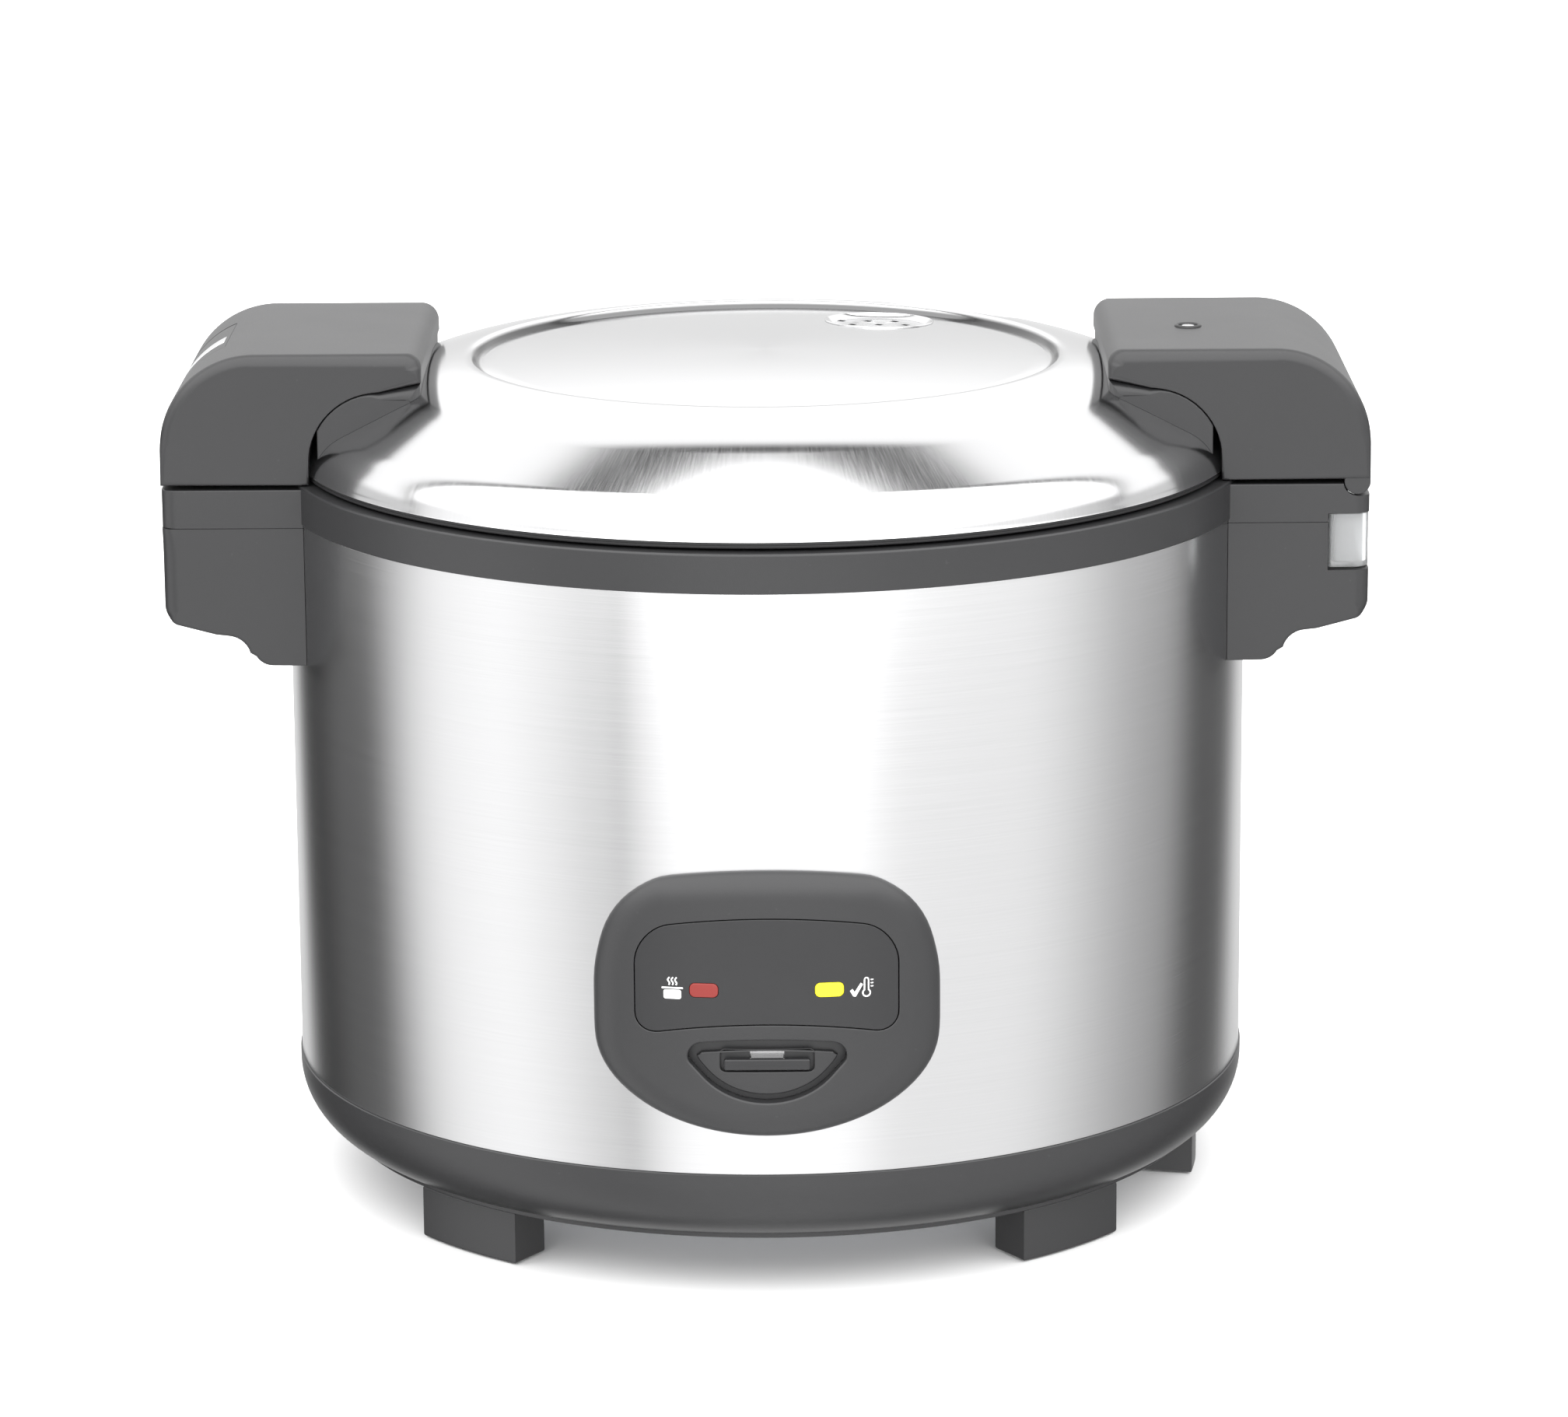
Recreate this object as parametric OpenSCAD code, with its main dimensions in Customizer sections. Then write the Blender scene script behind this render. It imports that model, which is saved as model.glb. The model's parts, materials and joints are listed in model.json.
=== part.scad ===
// Commercial rice cooker with a side-hinged lid, two box handles and a lever switch.
// Millimetres. +X is the hinge side, -Y the front panel, +Z up.
// The origin is on the surface that it stands on, under the middle of the pot.

/* [Body] */
// Outer diameter of the steel shell
body_d = 368; // [340:1:445]
// Height of the steel shell
shell_h = 217; // [170:1:265]
// Sheet thickness of the outer shell
shell_t = 0.8; // [0.6:0.1:1.2]

/* [Base] */
// Height of the moulded base ring
base_h = 29.5; // [28:0.5:36]
// Wall of the base ring
base_wall = 3; // [2:0.5:4]
// Height from the surface to the base ring
foot_h = 20.5; // [16:0.5:28]
// Thickness of the rubber pads under the feet
pad_h = 3; // [2:0.5:4]
// Turn of the corner feet away from the front and rear, in degrees
foot_angle = 43; // [38:1:48]

/* [Rim and handles] */
// Height of the plastic rim above the shell
rim_h = 14.6; // [13:0.2:18]
// How far each handle stands out from the shell
handle_out = 43.5; // [38:0.5:52]
// Front-to-back width of a handle
handle_w = 120; // [100:1:130]
// Height of the lower handle covers
cover_h = 53; // [48:1:64]
// Wall of the handle mouldings
handle_wall = 3; // [2.5:0.5:4]
// Round of the outer top edge of the upper handles
block_r = 36; // [30:1:38]

/* [Lid] */
// Diameter of the steel lid at its edge
lid_d = 361; // [332:1:393]
// Diameter of the pressed crease in the lid
crease_d = 221; // [190:1:240]
// Sheet thickness of the lid
lid_t = 0.8; // [0.6:0.1:1.2]
// Free gap between the lid mouldings and the rim
lid_gap = 1.6; // [1.2:0.1:2.4]
// Opening angle of the lid, in degrees
lid_open = 88; // [60:1:90]

/* [Pot] */
// Outer diameter of the pot
pot_d = 316; // [280:1:322]
// Wall of the pot
pot_wall = 2; // [1.5:0.1:3]
// Width of the pot's flange
pot_flange = 13; // [12:0.5:14]

/* [Heating] */
// Diameter of the heating plate
plate_d = 236; // [190:1:250]
// Thickness of the heating plate
plate_h = 12; // [9:0.5:15]
// Diameter of the thermostat cap
cap_d = 29; // [24:0.5:34]

/* [Panel] */
// Width of the control panel
panel_w = 126; // [110:1:140]
// Height of the control panel
panel_h = 100; // [92:1:112]
// How far the control panel stands out of the shell
panel_out = 6; // [4:0.5:8]
// Width of the lever bar
bar_w = 31.5; // [24:0.5:34]
// Travel of the lever bar
bar_travel = 2.2; // [1.5:0.1:2.4]

/* [Hinge and latch] */
// Diameter of the hinge pin
pin_d = 4; // [3:0.2:5]
// Outer diameter of the hinge knuckles
knuckle_d = 10; // [9:0.5:11]
// Travel of the latch button
button_travel = 2; // [1.5:0.1:2.2]

/* [Fits] */
// Radial running clearance of pins and slides
run_fit = 0.05; // [0.03:0.01:0.09]
// Free clearance between moving pieces
free_fit = 0.4; // [0.3:0.05:0.6]
// Play round fixed sheet-metal pieces
sheet_fit = 0.3; // [0.2:0.05:0.4]

/* [Hidden] */
$fn = 128;

// heights
z_base = foot_h;
z_shell = z_base + base_h;
z_rim = z_shell + shell_h;
z_top = z_rim + rim_h;
// radii
body_r = body_d / 2;
shell_in = body_r - shell_t;
trim_r = body_r + 0.6;
lid_r = lid_d / 2;
crease_r = crease_d / 2;
pot_r = pot_d / 2;
flange_r = pot_r + pot_flange;

function arc(cx, cz, r, a0, a1, n = 10) =
  [for (i = [0:n]) [cx + r * cos(a0 + (a1 - a0) * i / n), cz + r * sin(a0 + (a1 - a0) * i / n)]];

module ring(r_out, r_in, h) {
  difference() {
    cylinder(r = r_out, h = h);
    translate([0, 0, -1]) cylinder(r = r_in, h = h + 2);
  }
}

// a sheet-metal or moulded piece turned about the pot's axis, from its half section
module turned(section) {
  rotate_extrude() polygon(section);
}

// an outline in x and z, pulled along y about the middle
module along_y(outline, width) {
  rotate([90, 0, 0]) translate([0, 0, -width / 2]) linear_extrude(width) polygon(outline);
}

module y_rod(x, z, r, y0, y1) {
  translate([x, y0, z]) rotate([-90, 0, 0]) cylinder(r = r, h = y1 - y0);
}

module at_turn(a, r, z) {
  rotate([0, 0, a]) translate([r, 0, z]) children();
}

// level section through a coiled wire: the wire's half thickness over the turn that it covers
function coil_section(r, wire_d, pitch) = let (reach = 180 * wire_d / pitch, n = 6) concat(
  [for (i = [-n:n]) (r + wire_d / 2 * sqrt(1 - pow(i / n, 2))) * [cos(reach * i / n), sin(reach * i / n)]],
  [for (i = [n - 1:-1:1 - n]) (r - wire_d / 2 * sqrt(1 - pow(i / n, 2))) * [cos(reach * i / n), sin(reach * i / n)]]);

// round wire wound into a coil along +Z
module coil(r, wire_d, length, turns) {
  linear_extrude(length, twist = -360 * turns, slices = 14 * turns, $fn = 8)
    polygon(coil_section(r, wire_d, length / turns));
}

// ---------------------------------------------------------------- base

base_round = 26;
lip_h = 2.2;
lip_in = 1.2;
base_low_r = trim_r - base_round * (1 - cos(65));
lip_r = base_low_r - lip_in;
arc_z = z_base + lip_h + base_round * sin(65);
plate_r = lip_r - 20;
floor_t = 2.5;
base_bolt_r = plate_r - 5;
base_bolts = [45, 135, 225, 315];

// inner radius of the base ring's round wall at a height
function base_in_r(z) = trim_r - base_round + sqrt(pow(base_round - base_wall, 2) - pow(arc_z - z, 2));

module base_ring() {
  arc_out = arc(trim_r - base_round, arc_z, base_round, -65, 0);
  arc_in = arc(trim_r - base_round, arc_z, base_round - base_wall, 0, -65);
  color("#4c4d4f") difference() {
    turned(concat([[plate_r - 10, z_base], [lip_r, z_base], [lip_r, z_base + lip_h]], arc_out,
      [[trim_r, z_shell], [shell_in - sheet_fit, z_shell], [shell_in - sheet_fit, z_shell + 8],
       [shell_in - sheet_fit - 2.5, z_shell + 8], [shell_in - sheet_fit - 2.5, z_shell - 2]],
      arc_in, [[lip_r - base_wall, z_base + floor_t], [plate_r - 10, z_base + floor_t]]));
    for (a = base_bolts) at_turn(a, base_bolt_r, z_base - 1) cylinder(r = 2.2, h = 10);
  }
}

// vented steel plate that closes the base from inside
module bottom_plate() {
  color("#b4b7b9") difference() {
    translate([0, 0, z_base + floor_t]) cylinder(r = plate_r, h = 1);
    for (a = base_bolts) at_turn(a, base_bolt_r, z_base) cylinder(r = 1.7, h = 10);
    for (a = [0:20:340], r = [70, 95])
      at_turn(a, r, z_base) translate([-9, -2, 0]) cube([18, 4, 10]);
    translate([0, 0, z_base]) cylinder(r = 12, h = 10);
  }
}

foot_out = lip_r - 0.6;
foot_depth = 18;
foot_half = 8.5;
foot_turns = [-90 - foot_angle, -90 + foot_angle, 90 - foot_angle, 90 + foot_angle, -3];

// block foot between two radii and two side faces
module foot_block(r_in, r_out, half, h) {
  rotate([0, 0, -half]) rotate_extrude(angle = 2 * half)
    translate([r_in, 0]) square([r_out - r_in, h]);
}

module feet() {
  color("#3a3b3d") for (a = foot_turns) rotate([0, 0, a]) difference() {
    translate([0, 0, pad_h]) foot_block(foot_out - foot_depth, foot_out, foot_half, z_base - pad_h);
    for (s = [-1, 1]) rotate([0, 0, s * foot_half * 0.6])
      translate([foot_out - foot_depth / 2, 0, pad_h - 1]) cylinder(r = 5 + 0.05, h = 3);
    translate([foot_out - foot_depth / 2, 0, pad_h - 1]) cylinder(r = 3.4, h = z_base - pad_h - 3);
  }
}

module foot_pads() {
  color("#222325") for (a = foot_turns, s = [-1, 1]) rotate([0, 0, a + s * foot_half * 0.6])
    translate([foot_out - foot_depth / 2, 0, 0]) cylinder(r = 5, h = pad_h + 2);
}

// pan-head screw, head down, head seat at z = 0
module screw_up(d, head_d, length) {
  cylinder(d = d, h = length);
  translate([0, 0, -2]) cylinder(d = head_d, h = 2);
}

module base_screws() {
  color("#c9cbcd") for (a = base_bolts) at_turn(a, base_bolt_r, z_base) screw_up(3.3, 7, 8);
}

// ---------------------------------------------------------------- shell and rim

handle_reach = body_r + handle_out;
half_w = handle_w / 2;
seam_z = z_top - 16;
cover_low = seam_z - cover_h;
rim_in = pot_r + 4;
ledge_z = z_top - 5.6;
block_top = z_top - 1.2;
hinge_x = handle_reach - knuckle_d / 2;
hinge_z = block_top + lid_gap / 2;
hook_x = handle_reach - block_r + 16.5;
screw_y = 35;
screw_z = cover_low + 34;

// plan outline of a handle from x0 outwards, with rounded corners
function plan(x0, x1, half, r0, r1) = concat(
  arc(x1 - r1, half - r1, r1, 90, 0, 5), arc(x1 - r1, -half + r1, r1, 0, -90, 5),
  arc(x0 + r0, -half + r0, r0, -90, -180, 5), arc(x0 + r0, half - r0, r0, 180, 90, 5));

module handle_plan(inset, z0, z1, x0, r0) {
  translate([0, 0, z0]) linear_extrude(z1 - z0)
    polygon(plan(x0 + inset, handle_reach - inset, half_w - inset, r0, 6 - inset / 2));
}

panel_z = z_shell + 67;
inlet_z = z_shell + 32;

module outer_shell() {
  color("#c6c8ca") difference() {
    translate([0, 0, z_shell]) ring(body_r, shell_in, shell_h);
    // panel opening, inlet opening and the holes of the handle screws
    translate([-panel_w / 2 + 12, -body_r - 5, panel_z - panel_h / 2 + 12])
      cube([panel_w - 24, 30, panel_h - 24]);
    translate([-inlet_hole_w / 2, body_r - 25, inlet_z - inlet_hole_h / 2])
      cube([inlet_hole_w, 30, inlet_hole_h]);
    for (y = [-screw_y, screw_y]) translate([-body_d, y, screw_z]) rotate([0, 90, 0])
      cylinder(r = 2.3, h = 2 * body_d);
  }
}

cup_h = 21;
cup_t = 15.5;
cup_z = seam_z - 18;
cup_wall = 1.8;
cup_x = handle_reach - cup_t;
pull_w = 48;
pull_top = hinge_z - knuckle_d / 2 - 1;

// space that the condensate cup slides in
module cup_space(play) {
  translate([cup_x - play, -half_w - 1, cup_z - play])
    cube([cup_t + 10, handle_w + 2, cup_h + 2 * play]);
}

// rim part of one handle, on the +X side
module rim_handle() {
  difference() {
    intersection() {
      translate([0, -half_w, seam_z]) cube([handle_reach, handle_w, block_top - seam_z]);
      handle_plan(0, seam_z - 1, z_top + 1, body_r - 60, 1);
    }
    translate([0, 0, seam_z - 1]) cylinder(r = body_r + 0.1, h = z_rim - seam_z + 1);
    translate([0, 0, seam_z - 1]) cylinder(r = trim_r - 2, h = 40);
    translate([body_r + 3, -half_w + handle_wall, seam_z - 1])
      cube([handle_out - handle_wall - 3, handle_w - 2 * handle_wall, block_top - seam_z - 2]);
  }
}

module body_rim() {
  color("#505153") difference() {
    union() {
      turned([[trim_r, z_rim], [trim_r, z_top - 0.8], [trim_r - 0.8, z_top], [flange_r + 3, z_top],
        [flange_r + 2, ledge_z], [rim_in, ledge_z], [rim_in, ledge_z - 3],
        [shell_in - sheet_fit - 2.5, ledge_z - 3], [shell_in - sheet_fit - 2.5, z_rim - 8],
        [shell_in - sheet_fit, z_rim - 8], [shell_in - sheet_fit, z_rim]]);
      rim_handle();
      mirror([1, 0, 0]) rim_handle();
      rim_knuckles();
    }
    // slot for the hook, relief for the lid's knuckle and corner, room for the cup
    translate([-hook_x - 10, -9, seam_z - 1]) cube([21, 18, 30]);
    difference() {
      y_rod(hinge_x, hinge_z, knuckle_d / 2 + free_fit, -half_w - 1, half_w + 1);
      rim_knuckles();
    }
    difference() {
      translate([hinge_x, -half_w - 1, hinge_z - knuckle_d / 2 - free_fit])
        cube([20, handle_w + 2, 20]);
      rim_knuckles();
    }
    y_rod(hinge_x, hinge_z, pin_d / 2, -half_w, half_w);
    cup_space(free_fit);
    translate([handle_reach - cup_wall - free_fit, -pull_w / 2 - free_fit, cup_z])
      cube([10, pull_w + 2 * free_fit, pull_top + 1 - cup_z]);
    for (y = [-screw_y, screw_y], s = [0, 1]) mirror([s, 0, 0])
      translate([body_r + 8, y, seam_z - 1]) cylinder(r = 1.7, h = 13);
  }
}

knuckle_y0 = 14;
knuckle_y1 = 38;

// the rim's two hinge knuckles, each on a short neck
module rim_knuckles() {
  for (s = [-1, 1]) intersection() {
    union() {
      y_rod(hinge_x, hinge_z, knuckle_d / 2, -half_w, half_w);
      translate([hinge_x - knuckle_d / 2, -half_w, hinge_z - knuckle_d / 2 - 3])
        cube([knuckle_d / 2, handle_w, knuckle_d / 2 + 3 - lid_gap / 2]);
    }
    translate([0, s > 0 ? knuckle_y0 : -knuckle_y1, 0])
      cube([handle_reach, knuckle_y1 - knuckle_y0, 2 * z_top]);
  }
}

// underside outline of a lower handle: outer round, finger slope and swept foot
function cover_outline() = concat(
  [[body_r - 20, seam_z], [handle_reach, seam_z]],
  arc(handle_reach - 6, cover_low + 22, 6, 0, -70, 6),
  [[body_r + 21, cover_low + 11.5]],
  arc(body_r + 20, cover_low + 2.5, 9, 90, 165, 6),
  arc(body_r + 3, cover_low + 7, 7, -30, -90, 5),
  [[body_r - 20, cover_low]]);

module lower_handle() {
  difference() {
    intersection() {
      along_y(cover_outline(), handle_w);
      handle_plan(0, cover_low - 1, seam_z + 1, body_r - 60, 1);
    }
    translate([0, 0, cover_low - 1]) cylinder(r = body_r + 0.1, h = cover_h + 2);
    translate([0, 0, z_rim - 0.1]) cylinder(r = trim_r + 0.1, h = 2 * rim_h);
    // finger pocket from below and the hollow behind it, open under the rim
    translate([body_r + 23, -half_w + handle_wall, cover_low - 1])
      cube([handle_out - 23 - handle_wall, handle_w - 2 * handle_wall, cup_z - 5 - cover_low]);
    difference() {
      translate([body_r + 4, -half_w + handle_wall, cover_low + 16])
        cube([16, handle_w - 2 * handle_wall, cover_h]);
      for (y = [-screw_y, screw_y]) translate([body_r, y - 5, cover_low]) cube([9, 10, cover_h]);
    }
    for (y = [-screw_y, screw_y]) translate([body_r - 20, y, screw_z]) rotate([0, 90, 0])
      cylinder(r = 2.05, h = 28);
  }
}

module left_handle() {
  color("#4c4d4f") mirror([1, 0, 0]) lower_handle();
}

module right_handle() {
  color("#4c4d4f") difference() {
    lower_handle();
    cup_space(free_fit);
  }
}

module handle_screws() {
  head_x = sqrt(pow(shell_in, 2) - pow(screw_y + 4, 2)) - 0.6;
  color("#c9cbcd") for (s = [0, 1], y = [-screw_y, screw_y]) mirror([s, 0, 0])
    translate([head_x, y, screw_z]) rotate([0, 90, 0]) {
      cylinder(r = 2, h = 12);
      translate([0, 0, -3]) cylinder(r = 4, h = 3);
    }
}

// clear condensate cup; its outer wall carries a raised pull
module drip_cup() {
  length = handle_w - 6;
  color("#dfe6e8") difference() {
    union() {
      intersection() {
        translate([cup_x, -length / 2, cup_z]) cube([cup_t, length, cup_h]);
        handle_plan(0, cup_z - 1, cup_z + cup_h + 1, body_r - 60, 1);
      }
      translate([handle_reach - cup_wall, -pull_w / 2, cup_z + cup_h - 1])
        cube([cup_wall, pull_w, pull_top - cup_z - cup_h + 1]);
    }
    translate([cup_x + cup_wall, -length / 2 + cup_wall, cup_z + cup_wall])
      cube([cup_t - 2 * cup_wall, length - 2 * cup_wall, cup_h]);
  }
}

// ---------------------------------------------------------------- inside the body

casing_t = 0.8;
casing_r = pot_r + 8;
casing_z = z_shell + 6;
plate_z = casing_z + casing_t + 5;
pot_z = plate_z + plate_h;
sleeve_r = cap_d / 2 + 1.5;
post_r = plate_d / 2 - 18;

module inner_casing() {
  color("#a9adb0") difference() {
    turned([[sleeve_r + 12, casing_z], [casing_r, casing_z], [casing_r, ledge_z - 3 - casing_t],
      [shell_in - 8, ledge_z - 3 - casing_t], [shell_in - 8, ledge_z - 3], [casing_r - casing_t, ledge_z - 3],
      [casing_r - casing_t, casing_z + casing_t], [sleeve_r + 12, casing_z + casing_t]]);
    for (a = [30, 150, 270]) at_turn(a, post_r, casing_z - 1) cylinder(r = 2.2, h = 4);
    for (a = [75, 105]) at_turn(a, plate_d / 2 - 34, casing_z - 1) cylinder(r = 8, h = 4);
  }
}

// flat keep-warm heater wrapped round the casing
module keep_warm_band() {
  color("#8f7a4a") difference() {
    translate([0, 0, casing_z + 70]) ring(casing_r + 1.6, casing_r, 60);
    rotate([0, 0, 90]) translate([0, -6, casing_z + 60]) cube([body_r, 12, 80]);
  }
}

module heating_plate() {
  color("#b9bbbd") difference() {
    turned([[sleeve_r + 1, plate_z], [plate_d / 2, plate_z], [plate_d / 2, pot_z - 2.5],
      [plate_d / 2 - 5, pot_z - 0.5], [plate_d / 2 - 20, pot_z], [sleeve_r + 1, pot_z]]);
    translate([0, 0, plate_z - 1]) ring(plate_d / 2 - 30, plate_d / 2 - 38, 6);
    for (a = [30, 150, 270]) at_turn(a, post_r, plate_z - 1) cylinder(r = 2.2, h = 8);
  }
}

element_r = plate_d / 2 - 34;

// tubular element, open on one side, with two cold ends turned down
module heating_element() {
  color("#7d7f82") {
    rotate([0, 0, 105]) rotate_extrude(angle = 330) translate([element_r, plate_z + 0.6]) circle(r = 3.4);
    for (a = [75, 105]) at_turn(a, element_r, casing_z - 9) cylinder(r = 3, h = plate_z - casing_z + 9.6);
  }
}

module plate_posts() {
  color("#c9cbcd") for (a = [30, 150, 270]) at_turn(a, post_r, 0) {
    translate([0, 0, casing_z + casing_t]) cylinder(r = 5, h = plate_z - casing_z - casing_t);
    translate([0, 0, casing_z - 4]) cylinder(r = 2, h = plate_z - casing_z + 10);
    translate([0, 0, casing_z - 3]) cylinder(r = 4.5, h = 3);
  }
}

module inner_pot() {
  bend = 18;
  top = ledge_z + 2;
  color("#c2c4c6") turned(concat([[0, pot_z], [pot_r - bend, pot_z]],
    arc(pot_r - bend, pot_z + bend, bend, -90, 0, 8),
    [[pot_r, ledge_z], [flange_r, ledge_z], [flange_r, top], [pot_r - pot_wall, top]],
    arc(pot_r - bend, pot_z + bend, bend - pot_wall, 0, -90, 8),
    [[0, pot_z + pot_wall]]));
}

sleeve_low = casing_z - 12;
magnet_top = sleeve_low + 13;

// tube that guides the thermostat in the middle of the plate
module thermostat_sleeve() {
  color("#9ea1a4") {
    translate([0, 0, sleeve_low]) ring(sleeve_r, sleeve_r - 1, pot_z - 4 - sleeve_low);
    translate([0, 0, plate_z - 1.5]) ring(sleeve_r + 6, sleeve_r - 1, 1.5);
    translate([0, 0, sleeve_low]) ring(sleeve_r, 4, 1);
  }
}

module thermostat_cap() {
  color("#d5d7d9") {
    translate([0, 0, pot_z - 2]) cylinder(r = cap_d / 2, h = 2);
    translate([0, 0, pot_z - 8]) ring(cap_d / 2, cap_d / 2 - 1.2, 7);
    translate([0, 0, magnet_top + 1.7]) cylinder(r = 5, h = pot_z - 1 - magnet_top - 1.7);
  }
}

// the spring presses the cap up from a collar in the sleeve
module cap_spring() {
  color("#8f9295") translate([0, 0, sleeve_low + 1.6]) coil(cap_d / 2 - 3.5, 1.2, pot_z - sleeve_low - 4.6, 6);
}

// magnet and stem that the lever lifts to the plate thermostat
module magnet_carrier() {
  color("#6d7073") {
    translate([0, 0, magnet_top - 7]) cylinder(r = cap_d / 2 - 6, h = 7);
    translate([0, 0, lever_z - 5.5]) cylinder(r = 4 - run_fit, h = sleeve_low + 7 - lever_z + 5.5);
    translate([0, 0, lever_z - 5.5]) cylinder(r = 6.5, h = 2);
    translate([0, 0, lever_z + 3.5]) cylinder(r = 6.5, h = 2);
  }
}

// ---------------------------------------------------------------- lever switch

lever_z = sleeve_low - 11;
pivot_y = -118;
bar_z = panel_z - 23;
bar_h = 4.4;
leg_y = 1 - base_in_r(lever_z - 2.5);

// L-shaped arm: bar at the front, leg down the gap, fork under the thermostat
module cook_lever() {
  color("#2b2c2e") difference() {
    union() {
      translate([-bar_w / 2, -body_r - panel_out + 0.8, bar_z - bar_h / 2]) cube([bar_w, 6, bar_h]);
      translate([-6, -body_r - panel_out + 3, bar_z - 1.5]) cube([12, leg_y + body_r + panel_out, 3]);
      translate([-6, leg_y, lever_z - 2.5]) cube([12, 4, bar_z - lever_z + 4]);
      translate([-6, leg_y, lever_z - 2.5]) cube([12, -leg_y + 12, 5]);
      translate([-14, -16, lever_z - 2.5]) cube([28, 28, 5]);
      y_turned_boss();
    }
    translate([-4 - free_fit, -5 - free_fit, lever_z - 10]) cube([8 + 2 * free_fit, 30, 20]);
    translate([-20, pivot_y, lever_z]) rotate([0, 90, 0]) cylinder(r = 2 + run_fit, h = 40);
  }
}

module y_turned_boss() {
  translate([-9, pivot_y, lever_z]) rotate([0, 90, 0]) cylinder(r = 5, h = 18);
}

// two ears that hold the lever's pin, standing on the bottom plate
module lever_bracket() {
  floor_z = z_base + floor_t + 1;
  color("#b4b7b9") difference() {
    for (s = [-1, 1]) translate([s > 0 ? 9 + free_fit : -12 - free_fit, pivot_y - 8, floor_z]) {
      cube([3, 16, lever_z + 7 - floor_z]);
      translate([s > 0 ? 0 : -9, 0, 0]) cube([12, 16, 2]);
    }
    translate([-20, pivot_y, lever_z]) rotate([0, 90, 0]) cylinder(r = 2, h = 40);
  }
}

module lever_pin() {
  color("#c9cbcd") translate([-14, pivot_y, lever_z]) rotate([0, 90, 0]) cylinder(r = 2, h = 28);
}

module microswitch() {
  floor_z = z_base + floor_t + 1;
  color("#1d1e20") {
    translate([-10, pivot_y + 26, floor_z]) cube([20, 10, lever_z - 2.5 - 1.4 - floor_z]);
    for (x = [-7, 0, 7]) translate([x - 1, pivot_y + 36, floor_z + 1]) cube([2, 5, 0.8]);
  }
}

module thermal_fuse() {
  color("#d8d2bd") at_turn(200, 100, casing_z - 6) {
    translate([0, -14, 0]) rotate([-90, 0, 0]) cylinder(r = 3, h = 28);
    translate([-5, -5, 3]) cube([10, 10, 3]);
  }
}

module terminal_block() {
  floor_z = z_base + floor_t + 1;
  color("#e6e3da") translate([-30, 105, floor_z]) difference() {
    cube([60, 18, 14]);
    for (x = [6, 22, 38, 54]) translate([x, 9, 6]) cylinder(r = 2.6, h = 10);
  }
}

// ---------------------------------------------------------------- control panel

win_w = 96;
win_h = 40.5;
win_z = panel_z + 11.5;
lens_w = 10;
lens_h = 5.2;
lens_x = 22.7;
lens_z = panel_z + 4.6;
smile_w = 57.5;
smile_h = 24.5;
smile_z = panel_z - 13.5;

// rounded face plate outline: square shoulders, deep rounded chin
function panel_outline(d) = let (w = panel_w / 2 - d, t = panel_h / 2 - d, r = 25 - d) concat(
  arc(w - r, t - r, r, 0, 90, 8), arc(-w + r, t - r, r, 90, 180, 8),
  [[-w, -t + 42]], arc(-w + 44, -t + 42, 44, 187, 235, 5),
  [[-16, -t + 1.3], [0, -t], [16, -t + 1.3]], arc(w - 44, -t + 42, 44, -55, -7, 5), [[w, -t + 42]]);

// window outline: long edges bow up by a few millimetres
function window_outline(d) = let (w = win_w / 2 - d, t = win_h / 2 - d, bow = 3, r = 13 - d, q = 9 - d)
  concat(arc(w - r, t - r - bow, r, 0, 82, 6), [[0, t]], arc(-w + r, t - r - bow, r, 98, 180, 6),
  arc(-w + q, -t + q - bow, q, 180, 262, 5), [[0, -t]], arc(w - q, -t + q - bow, q, 278, 360, 5));

// recess under the window: nearly flat top, deep bowed bottom
function smile_outline(d) = let (w = smile_w / 2 - d, h = smile_h - 2 * d, r = (w * w + h * h) / (2 * h),
  a = asin(min(1, w / r))) concat(arc(w - 4, -d - 4, 4, -30, 80, 4), [[0, -d + 0.6]],
  arc(-w + 4, -d - 4, 4, 100, 210, 4), arc(0, -d - h + r, r, -90 - a * 0.78, -90 + a * 0.78, 10));

// what lies between two radii of the front, inside an outline seen from the front
module front_piece(outline, r_out, r_in, z) {
  intersection() {
    translate([0, 0, z_shell - 20]) ring(r_out, r_in, shell_h);
    translate([0, 0, z]) rotate([90, 0, 0]) linear_extrude(body_r + 20) polygon(outline);
  }
}

face_r = body_r + panel_out;

module panel_bezel() {
  color("#4e4f51") difference() {
    union() {
      front_piece(panel_outline(0), face_r - 2, body_r + 0.1, panel_z);
      front_piece(panel_outline(2), face_r, body_r, panel_z);
      front_piece(panel_outline(14), body_r + 1, body_r - 2, panel_z);
    }
    front_piece(window_outline(0), face_r + 1, face_r - 1.5, win_z);
    front_piece(smile_outline(0), face_r + 1, body_r - 5, smile_z);
    for (s = [-1, 1]) front_piece(lens_outline(-sheet_fit, s), face_r + 1, body_r - 5, lens_z);
  }
}

function lens_outline(d, s) = concat(
  arc(s * lens_x + (lens_w - lens_h) / 2, 0, lens_h / 2 - d, -90, 90, 8),
  arc(s * lens_x - (lens_w - lens_h) / 2, 0, lens_h / 2 - d, 90, 270, 8));

module panel_window() {
  color("#3f4042") difference() {
    front_piece(window_outline(0.4), face_r - 0.3, face_r - 1.5, win_z);
    for (s = [-1, 1]) front_piece(lens_outline(-sheet_fit, s), face_r + 1, body_r - 5, lens_z);
  }
}

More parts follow.
